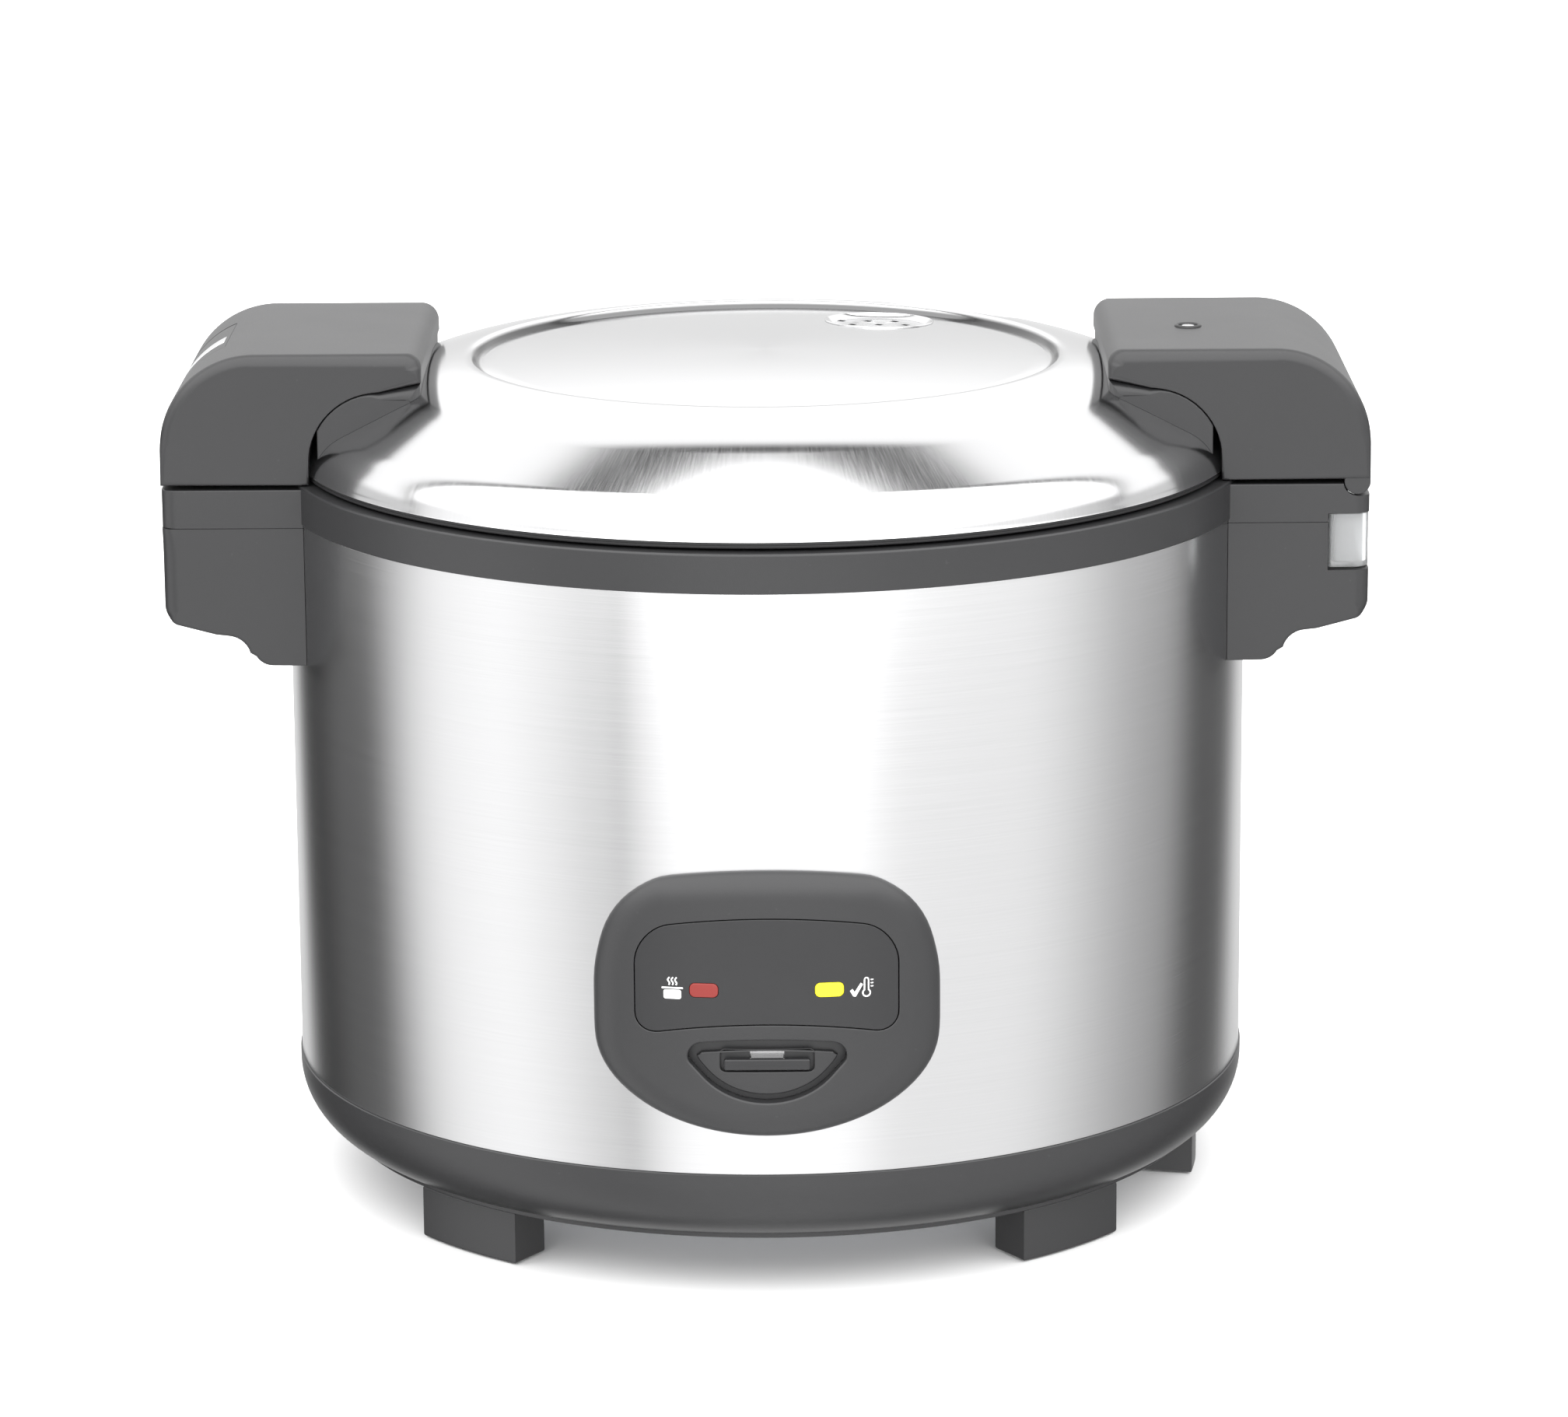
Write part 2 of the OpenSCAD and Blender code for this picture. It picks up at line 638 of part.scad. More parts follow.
module switch_plate() {
  color("#3a3b3d") difference() {
    front_piece(smile_outline(2), face_r - 2, face_r - 4, smile_z);
    translate([-bar_w / 2 - 1, -face_r - 5, bar_z - bar_h / 2 - free_fit])
      cube([bar_w + 2, 20, bar_h + bar_travel + 2 * free_fit]);
  }
  // frame that carries the plate behind the bezel
  color("#3a3b3d") difference() {
    front_piece(smile_outline(0.4), face_r - 4, face_r - 6, smile_z);
    translate([-bar_w / 2 - 1, -face_r - 5, bar_z - bar_h / 2 - free_fit])
      cube([bar_w + 2, 20, bar_h + bar_travel + 2 * free_fit]);
  }
}

module lens(s) {
  front_piece(lens_outline(0, s), face_r - 0.1, body_r - 3, lens_z);
}

module cook_lens() {
  color("#9a3a30") lens(-1);
}

module warm_lens() {
  color("#e8dc2c") lens(1);
}

// small board with one lamp behind each lens
module lamp_board() {
  color("#3f7a4a") translate([-35, -shell_in + 9, lens_z - 7]) cube([70, 1.6, 16]);
  color("#f4f1e4") for (s = [-1, 1]) translate([s * lens_x, -shell_in + 9, lens_z])
    rotate([90, 0, 0]) cylinder(r = 2.4, h = 5);
}

// ---------------------------------------------------------------- power inlet

inlet_w = 64;
inlet_h = 44;
inlet_hole_w = 36;
inlet_hole_h = 28;
socket_y = body_r - 14;

module inlet_housing() {
  color("#4c4d4f") difference() {
    mirror([0, 1, 0])
      front_piece(plan(-inlet_w / 2, inlet_w / 2, inlet_h / 2, 6, 6), face_r, body_r, inlet_z);
    translate([-17.3, body_r - 20, inlet_z - 12.8]) cube([34.6, 40, 25.6]);
  }
}

module power_inlet() {
  color("#1d1e20") difference() {
    translate([-17, socket_y, inlet_z - 12.5]) cube([34, face_r - 2 - socket_y, 25]);
    translate([-12.5, socket_y + 2.5, inlet_z - 8.5]) cube([25, 40, 17]);
    for (p = inlet_pin_places()) translate([p[0] - 1 - run_fit, socket_y - 1, inlet_z + p[1] - 2 - run_fit])
      cube([2 + 2 * run_fit, 10, 4 + 2 * run_fit]);
  }
}

function inlet_pin_places() = [[-7, -2], [7, -2], [0, 3]];

module inlet_pins() {
  color("#c9b36a") for (p = inlet_pin_places())
    translate([p[0] - 1, socket_y - 0.8, inlet_z + p[1] - 2]) cube([2, 15.3, 4]);
}

// ---------------------------------------------------------------- lid shell

// outer line of the lid from the crease to its edge: rise, slope and shoulder
lid_edge_z = z_top + 3.4;
crown_r = 87;
slope = 28.8;
shoulder_r = 20;
cone_r1 = lid_r - shoulder_r * (1 - sin(slope));
cone_z1 = lid_edge_z - 2.5 + shoulder_r * cos(slope);
cone_r0 = cone_r1 - 20.2;
cone_z0 = cone_z1 + 20.2 * tan(slope);
crown_c = [cone_r0 - crown_r * sin(slope), cone_z0 - crown_r * cos(slope)];
crease_a = asin((crease_r + 4 - crown_c[0]) / crown_r);
crease_z = crown_c[1] + crown_r * cos(crease_a) - 3;
disc_rise = 3;
disc_r = (pow(crease_r - 3, 2) + pow(disc_rise, 2)) / (2 * disc_rise);
disc_a = asin((crease_r - 3) / disc_r);
disc_cz = crease_z + disc_rise + 0.6 - disc_r;

function lid_line(d) = concat(
  [[lid_r - d, lid_edge_z - (d > 0 ? 1 : 0)]],
  arc(lid_r - shoulder_r, lid_edge_z - 2.5, shoulder_r - d, 8, 90 - slope, 8),
  arc(crown_c[0], crown_c[1], crown_r - d, 90 - slope, 90 - crease_a, 10),
  [[crease_r + 1.4, crease_z + 1 - d], [crease_r, crease_z - d], [crease_r - 1.4, crease_z + 0.3 - d]],
  arc(0, disc_cz, disc_r - d, 90 - disc_a, 90, 10));

// everything under the lid's outer line, used to seat the handle feet on it
module lid_solid(grow) {
  turned(concat([[0, lid_edge_z - 3], [lid_r + grow, lid_edge_z - 3]], lid_line(-grow)));
}

vent = [44.5, 71];
vent_r = 21;
vent_pitch = [8.6, 6];
vent_z = disc_cz + sqrt(pow(disc_r, 2) - pow(norm(vent), 2));

function reverse(list) = [for (i = [len(list) - 1:-1:0]) list[i]];

module lid_skin() {
  color("#cdcfd1") difference() {
    union() {
      difference() {
        turned(concat(lid_line(0), reverse(lid_line(lid_t))));
        translate([vent[0], vent[1], vent_z - 5]) cylinder(r = vent_r, h = 10);
      }
      // shallow pressed dish of the steam vent
      translate([vent[0], vent[1], vent_z - 2.4]) difference() {
        cylinder(r = vent_r + 0.4, h = 2.2);
        translate([0, 0, lid_t]) cylinder(r1 = vent_r - 2.2, r2 = vent_r, h = 2.2);
      }
    }
    for (c = [-2:2], k = [0:2 - abs(c)])
      translate([vent[0] + c * vent_pitch[0], vent[1] + (2 * k - 2 + abs(c)) * vent_pitch[1], vent_z])
        rotate([0, 0, 45]) cube([2.8, 2.8, 12], center = true);
    for (s = [-1, 1], y = [-1, 1])
      translate([s * foot_mid, y * lid_screw_y, z_top]) cylinder(r = 2.3, h = 60);
  }
}

foot_mid = lid_r - 42;
lid_screw_y = 30;
lid_seat_z = crown_c[1] + sqrt(pow(crown_r, 2) - pow(norm([foot_mid, lid_screw_y]) - crown_c[0], 2)) - 3.2;
ring_r = lid_r - 1.4;
liner_r = lid_r - 9;

// moulded ring that closes the lid's edge
module lid_ring() {
  color("#2f3032") turned([[liner_r - 4, z_top + 0.9], [ring_r, z_top + 0.9], [ring_r, lid_edge_z - 1.1],
    [lid_r - lid_t - 0.9, lid_edge_z - 1.1], [lid_r - lid_t - 1.6, lid_edge_z + 5],
    [lid_r - 4.5, lid_edge_z + 5], [lid_r - 4.5, z_top + 3], [liner_r - 4, z_top + 3]]);
}

// fixed inner plate of the lid
module lid_liner() {
  color("#bfc1c3") difference() {
    translate([0, 0, z_top + 3]) cylinder(r = lid_r - 4.7, h = 1);
    translate([vent[0], vent[1], z_top]) cylinder(r = 9, h = 8);
  }
  color("#bfc1c3") translate([0, 0, stud_z]) cylinder(r = 4, h = z_top + 3 - stud_z);
}

stud_z = z_top - 8;
inner_lid_z = z_top - 0.6;

module lid_insulation() {
  color("#d9cfae") difference() {
    translate([0, 0, z_top + 4]) cylinder(r = crease_r, h = 14);
    translate([vent[0], vent[1], z_top]) cylinder(r = 14, h = 40);
  }
}

// duct from the liner to the vent dish
module steam_duct() {
  color("#3a3b3d") difference() {
    translate([vent[0], vent[1], z_top + 3]) union() {
      cylinder(r = 9 - sheet_fit, h = 4);
      translate([0, 0, 1]) cylinder(r = 13, h = 3);
      cylinder(r = 8.5, h = vent_z - 2.4 - z_top - 3);
      translate([0, 0, vent_z - 2.4 - z_top - 6]) cylinder(r = vent_r - 1, h = 3);
    }
    translate([vent[0], vent[1], z_top]) cylinder(r = 7, h = vent_z - z_top - 4.5);
    translate([vent[0], vent[1], vent_z - 4.6]) cylinder(r = vent_r - 2.5, h = 4);
  }
}

// lift-off inner lid: flat edge over the gasket, dished middle, steam hole
module inner_lid() {
  dish_r = pot_r - 12;
  color("#c9cbcd") difference() {
    turned([[0, inner_lid_z - 8], [dish_r, inner_lid_z - 8], [dish_r + 4, inner_lid_z],
      [flange_r - 2, inner_lid_z], [flange_r - 2, inner_lid_z + 1], [dish_r + 3, inner_lid_z + 1],
      [dish_r - 1, inner_lid_z - 7], [0, inner_lid_z - 7]]);
    translate([0, 0, inner_lid_z - 10]) cylinder(r = 7, h = 6);
    for (a = [0:60:300]) translate([vent[0], vent[1], 0]) at_turn(a, 5, inner_lid_z - 10)
      cylinder(r = 1.6, h = 6);
  }
}

module lid_gasket() {
  color("#8a8c8e") turned([[flange_r - 11, ledge_z + 2.3], [flange_r - 4, ledge_z + 2.3],
    [flange_r - 4, inner_lid_z], [flange_r - 11, inner_lid_z]]);
}

// rubber knob that holds the inner lid on the liner's stud
module lid_knob() {
  color("#1f2022") difference() {
    union() {
      translate([0, 0, inner_lid_z - 10]) cylinder(r = 11, h = 2);
      translate([0, 0, inner_lid_z - 10]) cylinder(r = 7 - 0.1, h = 4);
      translate([0, 0, inner_lid_z - 7]) cylinder(r = 8.5, h = 2);
    }
    translate([0, 0, inner_lid_z - 8.5]) cylinder(r = 4 + run_fit, h = 10);
  }
}

label_turn = 53;

// blank oval label on the slope behind the vent
module lid_label() {
  color("#f2f2f0") intersection() {
    difference() {
      turned(concat(lid_line(-0.25), reverse(lid_line(0))));
      translate([0, 0, crease_z - 60]) cylinder(r = crease_r + 5, h = 120);
    }
    rotate([0, 0, label_turn]) translate([crease_r + 13, 0, z_top]) linear_extrude(60)
      polygon(plan(-6, 6, 30, 5.9, 5.9));
  }
}

// ---------------------------------------------------------------- upper handles

block_low = block_top + lid_gap;
block_z = z_top + 50;
block_in = lid_r - 52;
arch_r = 27;
arch_x = lid_r - 36;
arch_z = block_z - 14.3 - arch_r;

// side outline of an upper handle: outer round, flat top, arch over the lid
function block_outline(d) = concat(
  [[arch_x + arch_r + d, block_low - (d > 0 ? 1 : 0)]],
  [[handle_reach - d, block_low - (d > 0 ? 1 : 0)]],
  arc(handle_reach - block_r, block_z - block_r, block_r - d, 0, 90, 12),
  arc(block_in + 4, block_z - 4, max(4 - d, 0.5), 90, 180, 4),
  [[block_in + d, block_z - 11 + d]],
  arc(arch_x, arch_z, arch_r + d, 90, 0, 8));

module upper_shell() {
  difference() {
    intersection() {
      along_y(block_outline(0), handle_w);
      handle_plan(0, block_low - 1, block_z + 1, block_in, 8);
    }
    intersection() {
      along_y(block_outline(handle_wall), handle_w - 2 * handle_wall);
      handle_plan(handle_wall, block_low - 2, block_z + 1, block_in, 5);
    }
    lid_solid(sheet_fit);
    translate([0, 0, z_top]) cylinder(r = lid_r + sheet_fit, h = 3);
    for (y = [-lid_screw_y, lid_screw_y]) translate([foot_mid, y, z_top]) cylinder(r = 2.05, h = 42);
  }
}

// foot that carries an upper handle on the lid, screwed from inside
module upper_foot() {
  difference() {
    intersection() {
      along_y([[block_in + 0.6, block_z - 30], [arch_x + 8, block_z - 30], [arch_x + 8, arch_z + sqrt(pow(arch_r, 2) - 64) - sheet_fit],
        [arch_x - 2, block_z - 14.3 - sheet_fit], [block_in + 0.6, block_z - 11 - sheet_fit]], handle_w - 4);
      handle_plan(2, block_z - 40, block_z, block_in - 1.4, 7);
    }
    lid_solid(0.1);
    for (y = [-lid_screw_y, lid_screw_y]) translate([foot_mid, y, z_top]) cylinder(r = 2.05, h = 60);
    translate([0, 0, z_top]) ring(lid_r + 60, lid_r - 21, 60);
  }
}

// the button slides towards the middle of the handle's outer round
button_c = [handle_reach - block_r, block_z - block_r];
button_w = 52;
button_half = 14;
stem_r0 = 13;
button_t = 5;
hub_r = 4.5;
// the webs end short of the button's inner face when it is pressed
web_reach = sqrt(pow(block_r - button_t, 2) - pow(button_half, 2)) - button_travel - free_fit;

module button_frame() {
  translate([button_c[0], 0, button_c[1]]) rotate([0, -45, 0]) children();
}

module latch_block() {
  color("#505153") mirror([1, 0, 0]) {
    difference() {
      upper_shell();
      button_frame() translate([18, -button_w / 2 - free_fit, -button_half - free_fit])
        cube([30, button_w + 2 * free_fit, 2 * (button_half + free_fit)]);
    }
    // webs that carry the hook's pin and the button's guide
    difference() {
      for (y = [-11, 8]) intersection() {
        translate([hook_x - 10, y, hook_z - 7]) cube([20, 3, 40]);
        along_y(block_outline(handle_wall - 0.5), handle_w - 4);
        button_frame() translate([-60, -40, -60]) cube([60 + web_reach, 80, 120]);
      }
      y_rod(hook_x, hook_z, 1.5, -20, 20);
    }
    difference() {
      button_frame() translate([17, -11, -7]) cube([2, 22, 14]);
      button_frame() rotate([0, 90, 0]) cylinder(r = 3 + run_fit, h = 40);
      y_rod(hook_x, hook_z, hub_r + free_fit, -half_w, half_w);
    }
  }
}

module latch_button() {
  color("#4a4b4d") mirror([1, 0, 0]) {
    difference() {
      intersection() {
        y_rod(button_c[0], button_c[1], block_r - 0.1, -button_w / 2, button_w / 2);
        button_frame() translate([18, -button_w / 2, -button_half]) cube([30, button_w, 2 * button_half]);
      }
      y_rod(button_c[0], button_c[1], block_r - button_t, -40, 40);
      intersection() {
        y_rod(button_c[0], button_c[1], block_r + 1, -inlay_w / 2 - 0.05, inlay_w / 2 + 0.05);
        button_frame() translate([block_r - 6, -20, -12.5]) cube([20, 40, 25]);
        difference() {
          y_rod(button_c[0], button_c[1], block_r + 1, -20, 20);
          y_rod(button_c[0], button_c[1], block_r - 0.7, -20, 20);
        }
      }
    }
    button_frame() translate([stem_r0, 0, 0]) rotate([0, 90, 0]) cylinder(r = 1.5, h = 4);
    button_frame() translate([stem_r0 + 3, 0, 0]) rotate([0, 90, 0]) cylinder(r = 3, h = block_r - 7.5 - stem_r0);
  }
}

inlay_w = 17;

// silver strip let into the button
module button_inlay() {
  color("#d3d4d6") mirror([1, 0, 0]) intersection() {
    difference() {
      y_rod(button_c[0], button_c[1], block_r, -inlay_w / 2, inlay_w / 2);
      y_rod(button_c[0], button_c[1], block_r - 0.7, -20, 20);
    }
    button_frame() translate([block_r - 6, -20, -12.4]) cube([20, 40, 24.8]);
  }
}

hook_z = block_z - block_r + 3.4;
hook_tip_z = block_top - 9.5;

// side outline of the hook about its pin: round hub, pad under the button's stem, leg and tooth
hook_drop = hook_z - hook_tip_z;
hook_outline = concat([[6.5, -hook_drop], [6.5, 3 - hook_drop], [2.5, 3 - hook_drop], [2.5, -3.9], [3.9, -3.9],
  pad_corner(-5.5), pad_corner(-1.5)], arc(0, 0, hub_r, 26, 236, 12), [[-2.5, -hook_drop]]);

function pad_corner(u) = [12 - u, 12 + u] * cos(45);

// leg through the rim, tooth under the keeper
module latch_hook() {
  color("#c3c5c7") difference() {
    translate([-hook_x, 0, hook_z]) along_y(hook_outline, 12);
    y_rod(-hook_x, hook_z, 1.5 + run_fit, -20, 20);
  }
}

module latch_pin() {
  color("#c9cbcd") mirror([1, 0, 0]) y_rod(hook_x, hook_z, 1.5, -11, 11);
}

module latch_spring() {
  color("#8f9295") mirror([1, 0, 0]) button_frame() translate([19.4, 0, 0]) rotate([0, 90, 0])
    coil(4.6, 1, block_r - 5 - 20, 4);
}

// steel keeper in the rim, its ledge above the hook's tooth
module latch_keeper() {
  color("#b4b7b9") mirror([1, 0, 0]) {
    translate([hook_x - 10.8, -8.6, block_top - 5.6]) cube([7.4, 17.2, 2]);
    translate([hook_x - 10.8, -8.6, seam_z + 1]) cube([1.6, 17.2, block_top - 5 - seam_z]);
  }
}

module hinge_block() {
  color("#505153") difference() {
    union() {
      upper_shell();
      // closed outer corner and the lid's own knuckle
      intersection() {
        union() {
          y_rod(hinge_x, hinge_z, knuckle_d / 2, -half_w, half_w);
          translate([hinge_x - knuckle_d / 2, -half_w, block_low]) cube([knuckle_d, handle_w, knuckle_d]);
        }
        handle_plan(0, seam_z, block_z, block_in, 8);
      }
    }
    for (s = [-1, 1]) translate([0, s > 0 ? knuckle_y0 - free_fit : -knuckle_y1 - free_fit, 0])
      y_rod(hinge_x, hinge_z, knuckle_d / 2 + free_fit + 0.3, 0, knuckle_y1 - knuckle_y0 + 2 * free_fit);
    // outside of the knuckles the corner keeps to the hinge's round
    difference() {
      translate([hinge_x, -half_w - 1, hinge_z - 20]) cube([20, handle_w + 2, 20]);
      y_rod(hinge_x, hinge_z, knuckle_d / 2, -half_w - 2, half_w + 2);
    }
    y_rod(hinge_x, hinge_z, pin_d / 2 + run_fit, -half_w - 1, half_w + 1);
    translate([ring_x, ring_y, block_z - 1]) cylinder(r = 5.05, h = 2);
  }
}

module hinge_pin() {
  color("#c9cbcd") y_rod(hinge_x, hinge_z, pin_d / 2, -half_w + 4, half_w - 4);
}

module latch_foot() {
  color("#3c3d3f") mirror([1, 0, 0]) upper_foot();
}

module hinge_foot() {
  color("#3c3d3f") upper_foot();
}

ring_x = block_in + 33;
ring_y = -8;

// ring-shaped plug in the top of the hinge handle
module plug_ring() {
  color("#242527") translate([ring_x, ring_y, block_z - 1]) difference() {
    cylinder(r = 5, h = 1.5);
    translate([0, 0, 0.5]) cylinder(r = 3.4, h = 3);
  }
}

module lid_screws() {
  color("#c9cbcd") for (s = [-1, 1], y = [-lid_screw_y, lid_screw_y])
    translate([s * foot_mid, y, 0]) {
      translate([0, 0, lid_seat_z - 3]) cylinder(r = 4, h = 3);
      translate([0, 0, lid_seat_z - 0.5]) cylinder(r = 2, h = 10);
    }
}

base_ring();
bottom_plate();
feet();
foot_pads();
base_screws();
outer_shell();
body_rim();
left_handle();
right_handle();
handle_screws();
inner_casing();
keep_warm_band();
heating_plate();
heating_element();
plate_posts();
inner_pot();
thermostat_sleeve();
thermostat_cap();
cap_spring();
magnet_carrier();
cook_lever();
lever_bracket();
lever_pin();
microswitch();
thermal_fuse();
terminal_block();
panel_bezel();
panel_window();
switch_plate();
cook_lens();
warm_lens();
lamp_board();
inlet_housing();
power_inlet();
inlet_pins();
latch_keeper();
drip_cup();
hinge_pin();
lid_skin();
lid_ring();
lid_liner();
lid_insulation();
steam_duct();
inner_lid();
lid_gasket();
lid_knob();
lid_label();
latch_block();
latch_foot();
latch_button();
button_inlay();
latch_hook();
latch_pin();
latch_spring();
hinge_block();
hinge_foot();
plug_ring();
lid_screws();
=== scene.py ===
import json
import math

import bmesh
import bpy
from bpy.props import FloatProperty, FloatVectorProperty, IntProperty, PointerProperty
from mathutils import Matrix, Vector
from mathutils.geometry import delaunay_2d_cdt

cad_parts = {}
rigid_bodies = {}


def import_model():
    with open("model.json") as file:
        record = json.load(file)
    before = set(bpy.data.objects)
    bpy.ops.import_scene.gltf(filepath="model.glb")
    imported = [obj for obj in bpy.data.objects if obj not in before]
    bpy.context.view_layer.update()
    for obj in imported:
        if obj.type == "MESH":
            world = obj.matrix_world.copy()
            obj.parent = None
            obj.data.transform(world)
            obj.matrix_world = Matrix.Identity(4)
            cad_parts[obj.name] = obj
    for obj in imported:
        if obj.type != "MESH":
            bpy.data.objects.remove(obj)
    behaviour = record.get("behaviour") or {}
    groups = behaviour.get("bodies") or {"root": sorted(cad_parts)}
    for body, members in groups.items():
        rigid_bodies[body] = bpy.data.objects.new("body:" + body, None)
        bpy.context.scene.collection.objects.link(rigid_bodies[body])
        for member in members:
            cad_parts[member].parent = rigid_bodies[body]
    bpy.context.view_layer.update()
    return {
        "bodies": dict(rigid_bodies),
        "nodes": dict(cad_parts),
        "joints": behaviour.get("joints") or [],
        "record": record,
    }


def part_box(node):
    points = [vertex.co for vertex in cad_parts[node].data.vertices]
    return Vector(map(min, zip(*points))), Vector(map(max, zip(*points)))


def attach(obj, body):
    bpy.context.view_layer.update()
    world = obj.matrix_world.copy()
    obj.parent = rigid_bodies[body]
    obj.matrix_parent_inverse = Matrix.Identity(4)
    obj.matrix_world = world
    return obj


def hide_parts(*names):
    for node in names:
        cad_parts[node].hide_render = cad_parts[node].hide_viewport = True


bl_info = {
    "name": "Rice cooker",
    "version": (1, 0, 0),
    "blender": (4, 5, 0),
    "location": "View3D > Sidebar > Rice cooker",
    "description": "Builds the visible mouldings, sheet metal and finishes of a rice cooker",
    "category": "Add Mesh",
}

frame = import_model()
MM = 0.001


# ---------------------------------------------------------------- sizes, in millimetres


def cad(node):
    """Lowest and highest corner of a CAD node, in millimetres."""
    low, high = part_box(node)
    return low / MM, high / MM


SHELL_LOW, SHELL_HIGH = cad("outer_shell")
COVER_LOW, COVER_HIGH = cad("left_handle")
LATCH_LOW, LATCH_HIGH = cad("latch_block")
BEZEL_LOW, BEZEL_HIGH = cad("panel_bezel")
WINDOW_LOW, WINDOW_HIGH = cad("panel_window")
LENS_LOW, LENS_HIGH = cad("warm_lens")
CUP_LOW, CUP_HIGH = cad("drip_cup")
RING_LOW = cad("lid_ring")[0]
LID_HIGH = cad("lid_skin")[1]
BASE_LOW = cad("base_ring")[0]
POT_LOW, POT_HIGH = cad("inner_pot")
PLUG_LOW, PLUG_HIGH = cad("plug_ring")
DUCT_LOW, DUCT_HIGH = cad("steam_duct")
PIN_LOW, PIN_HIGH = cad("hinge_pin")

BODY_R = SHELL_HIGH.x
Z_SHELL = SHELL_LOW.z
Z_RIM = SHELL_HIGH.z
TRIM_R = BODY_R + 0.6
Z_TOP = RING_LOW.z - 0.9
LEDGE_Z = Z_TOP - 5.6
REACH = -COVER_LOW.x
HALF_W = COVER_HIGH.y
SEAM_Z = COVER_HIGH.z
COVER_Z = COVER_LOW.z
BLOCK_TOP = Z_TOP - 1.2
BLOCK_Z = LATCH_HIGH.z
BLOCK_FOOT = LATCH_LOW.z
BLOCK_IN = -LATCH_HIGH.x
PIN_X = (PIN_LOW.x + PIN_HIGH.x) / 2
PIN_Z = (PIN_LOW.z + PIN_HIGH.z) / 2
FACE_R = -BEZEL_LOW.y
PANEL_Z = (BEZEL_LOW.z + BEZEL_HIGH.z) / 2
LID_R = LID_HIGH.x
LID_EDGE_Z = Z_TOP + 3.4
FLANGE_R = POT_HIGH.x


class CookerSizes(bpy.types.PropertyGroup):
    """Sizes of the roundings and seams, in millimetres."""

    top_round: FloatProperty(name="Top edge", description="Round of the handles' top edges", default=4.2)
    tip_round: FloatProperty(name="Tip edge", description="Round of the handles' inner corners", default=7.5)
    corner_round: FloatProperty(name="Outer corner", description="Round of the outer corners", default=6.0)
    small_round: FloatProperty(name="Small edge", description="Round of seams and undersides", default=0.6)
    button_r: FloatProperty(name="Handle crown", description="Round of the upper handles seen from the front",
                            default=36.0)
    crease_r: FloatProperty(name="Crease", description="Radius of the lid's pressed crease", default=110.5)
    panel_slope: FloatProperty(name="Panel shoulder", description="Width of the panel's rounded shoulder",
                               default=10.0)
    turn_steps: IntProperty(name="Turned steps", description="Faces round a turned piece", default=192)


class CookerColours(bpy.types.PropertyGroup):
    """Colours of the finishes."""

    plastic: FloatVectorProperty(name="Plastic", description="Grey moulded plastic", subtype="COLOR",
                                 default=(0.022, 0.022, 0.023))
    dark: FloatVectorProperty(name="Dark plastic", description="Near-black plastic", subtype="COLOR",
                              default=(0.022, 0.022, 0.023))
    window: FloatVectorProperty(name="Window", description="Smoked glossy window", subtype="COLOR",
                                default=(0.021, 0.021, 0.022))
    steel: FloatVectorProperty(name="Steel", description="Brushed steel of the body", subtype="COLOR",
                               default=(0.63, 0.63, 0.635))
    lid: FloatVectorProperty(name="Lid steel", description="Brushed steel of the lid", subtype="COLOR",
                             default=(0.68, 0.68, 0.685))
    red: FloatVectorProperty(name="Cook lamp", description="Lens of the cook lamp", subtype="COLOR",
                             default=(0.19, 0.022, 0.018))
    yellow: FloatVectorProperty(name="Warm lamp", description="Lens of the warm lamp", subtype="COLOR",
                                default=(0.86, 0.77, 0.02))


class StageSettings(bpy.types.PropertyGroup):
    """Camera and light."""

    lens: FloatProperty(name="Lens", description="Focal length in millimetres", default=137.64)
    pitch: FloatProperty(name="Pitch", description="Degrees that the camera looks down", default=13.722)
    yaw: FloatProperty(name="Yaw", description="Turn of the camera to the right, in degrees", default=-0.235)
    roll: FloatProperty(name="Roll", description="Roll of the camera, in degrees", default=-0.395)
    sky: FloatProperty(name="Room light", description="Brightness of the pale room", default=1.0)
    top: FloatProperty(name="Overhead light", description="Brightness of the soft box overhead", default=3.4)


def sizes():
    return bpy.context.scene.cooker_sizes


def colours():
    return bpy.context.scene.cooker_colours


# ---------------------------------------------------------------- outlines


def arc(cx, cy, r, start, end, steps=10):
    """Points of an arc, angles in degrees."""
    angles = [math.radians(start + (end - start) * i / steps) for i in range(steps + 1)]
    return [(cx + r * math.cos(a), cy + r * math.sin(a)) for a in angles]


def tidy(points):
    """The outline without repeated points, counter-clockwise."""
    kept = []
    for p in points:
        if not kept or math.dist(p, kept[-1]) > 0.02:
            kept.append(p)
    if math.dist(kept[0], kept[-1]) <= 0.02:
        kept.pop()
    area = sum(a[0] * b[1] - b[0] * a[1] for a, b in zip(kept, kept[1:] + kept[:1]))
    return kept if area > 0 else kept[::-1]


def inset(points, amount):
    """Moves each point of a counter-clockwise outline inwards by one amount, or by one for each point."""
    count = len(points)
    amounts = amount if isinstance(amount, list) else [amount] * count
    moved = []
    for i, p in enumerate(points):
        before, after = Vector(points[i - 1]), Vector(points[(i + 1) % count])
        here = Vector(p)
        d1, d2 = (here - before).normalized(), (after - here).normalized()
        n1, n2 = Vector((-d1.y, d1.x)), Vector((-d2.y, d2.x))
        middle = n1 + n2
        if middle.length < 0.2:
            middle = n1
        middle.normalize()
        stretch = min(1.5, 1 / max(middle.dot(n1), 0.4))
        moved.append(tuple(here + middle * amounts[i] * stretch))
    return moved


def rounded_box(x0, x1, y0, y1, r, steps=6):
    return tidy(arc(x1 - r, y1 - r, r, 0, 90, steps) + arc(x0 + r, y1 - r, r, 90, 180, steps)
                + arc(x0 + r, y0 + r, r, 180, 270, steps) + arc(x1 - r, y0 + r, r, 270, 360, steps))


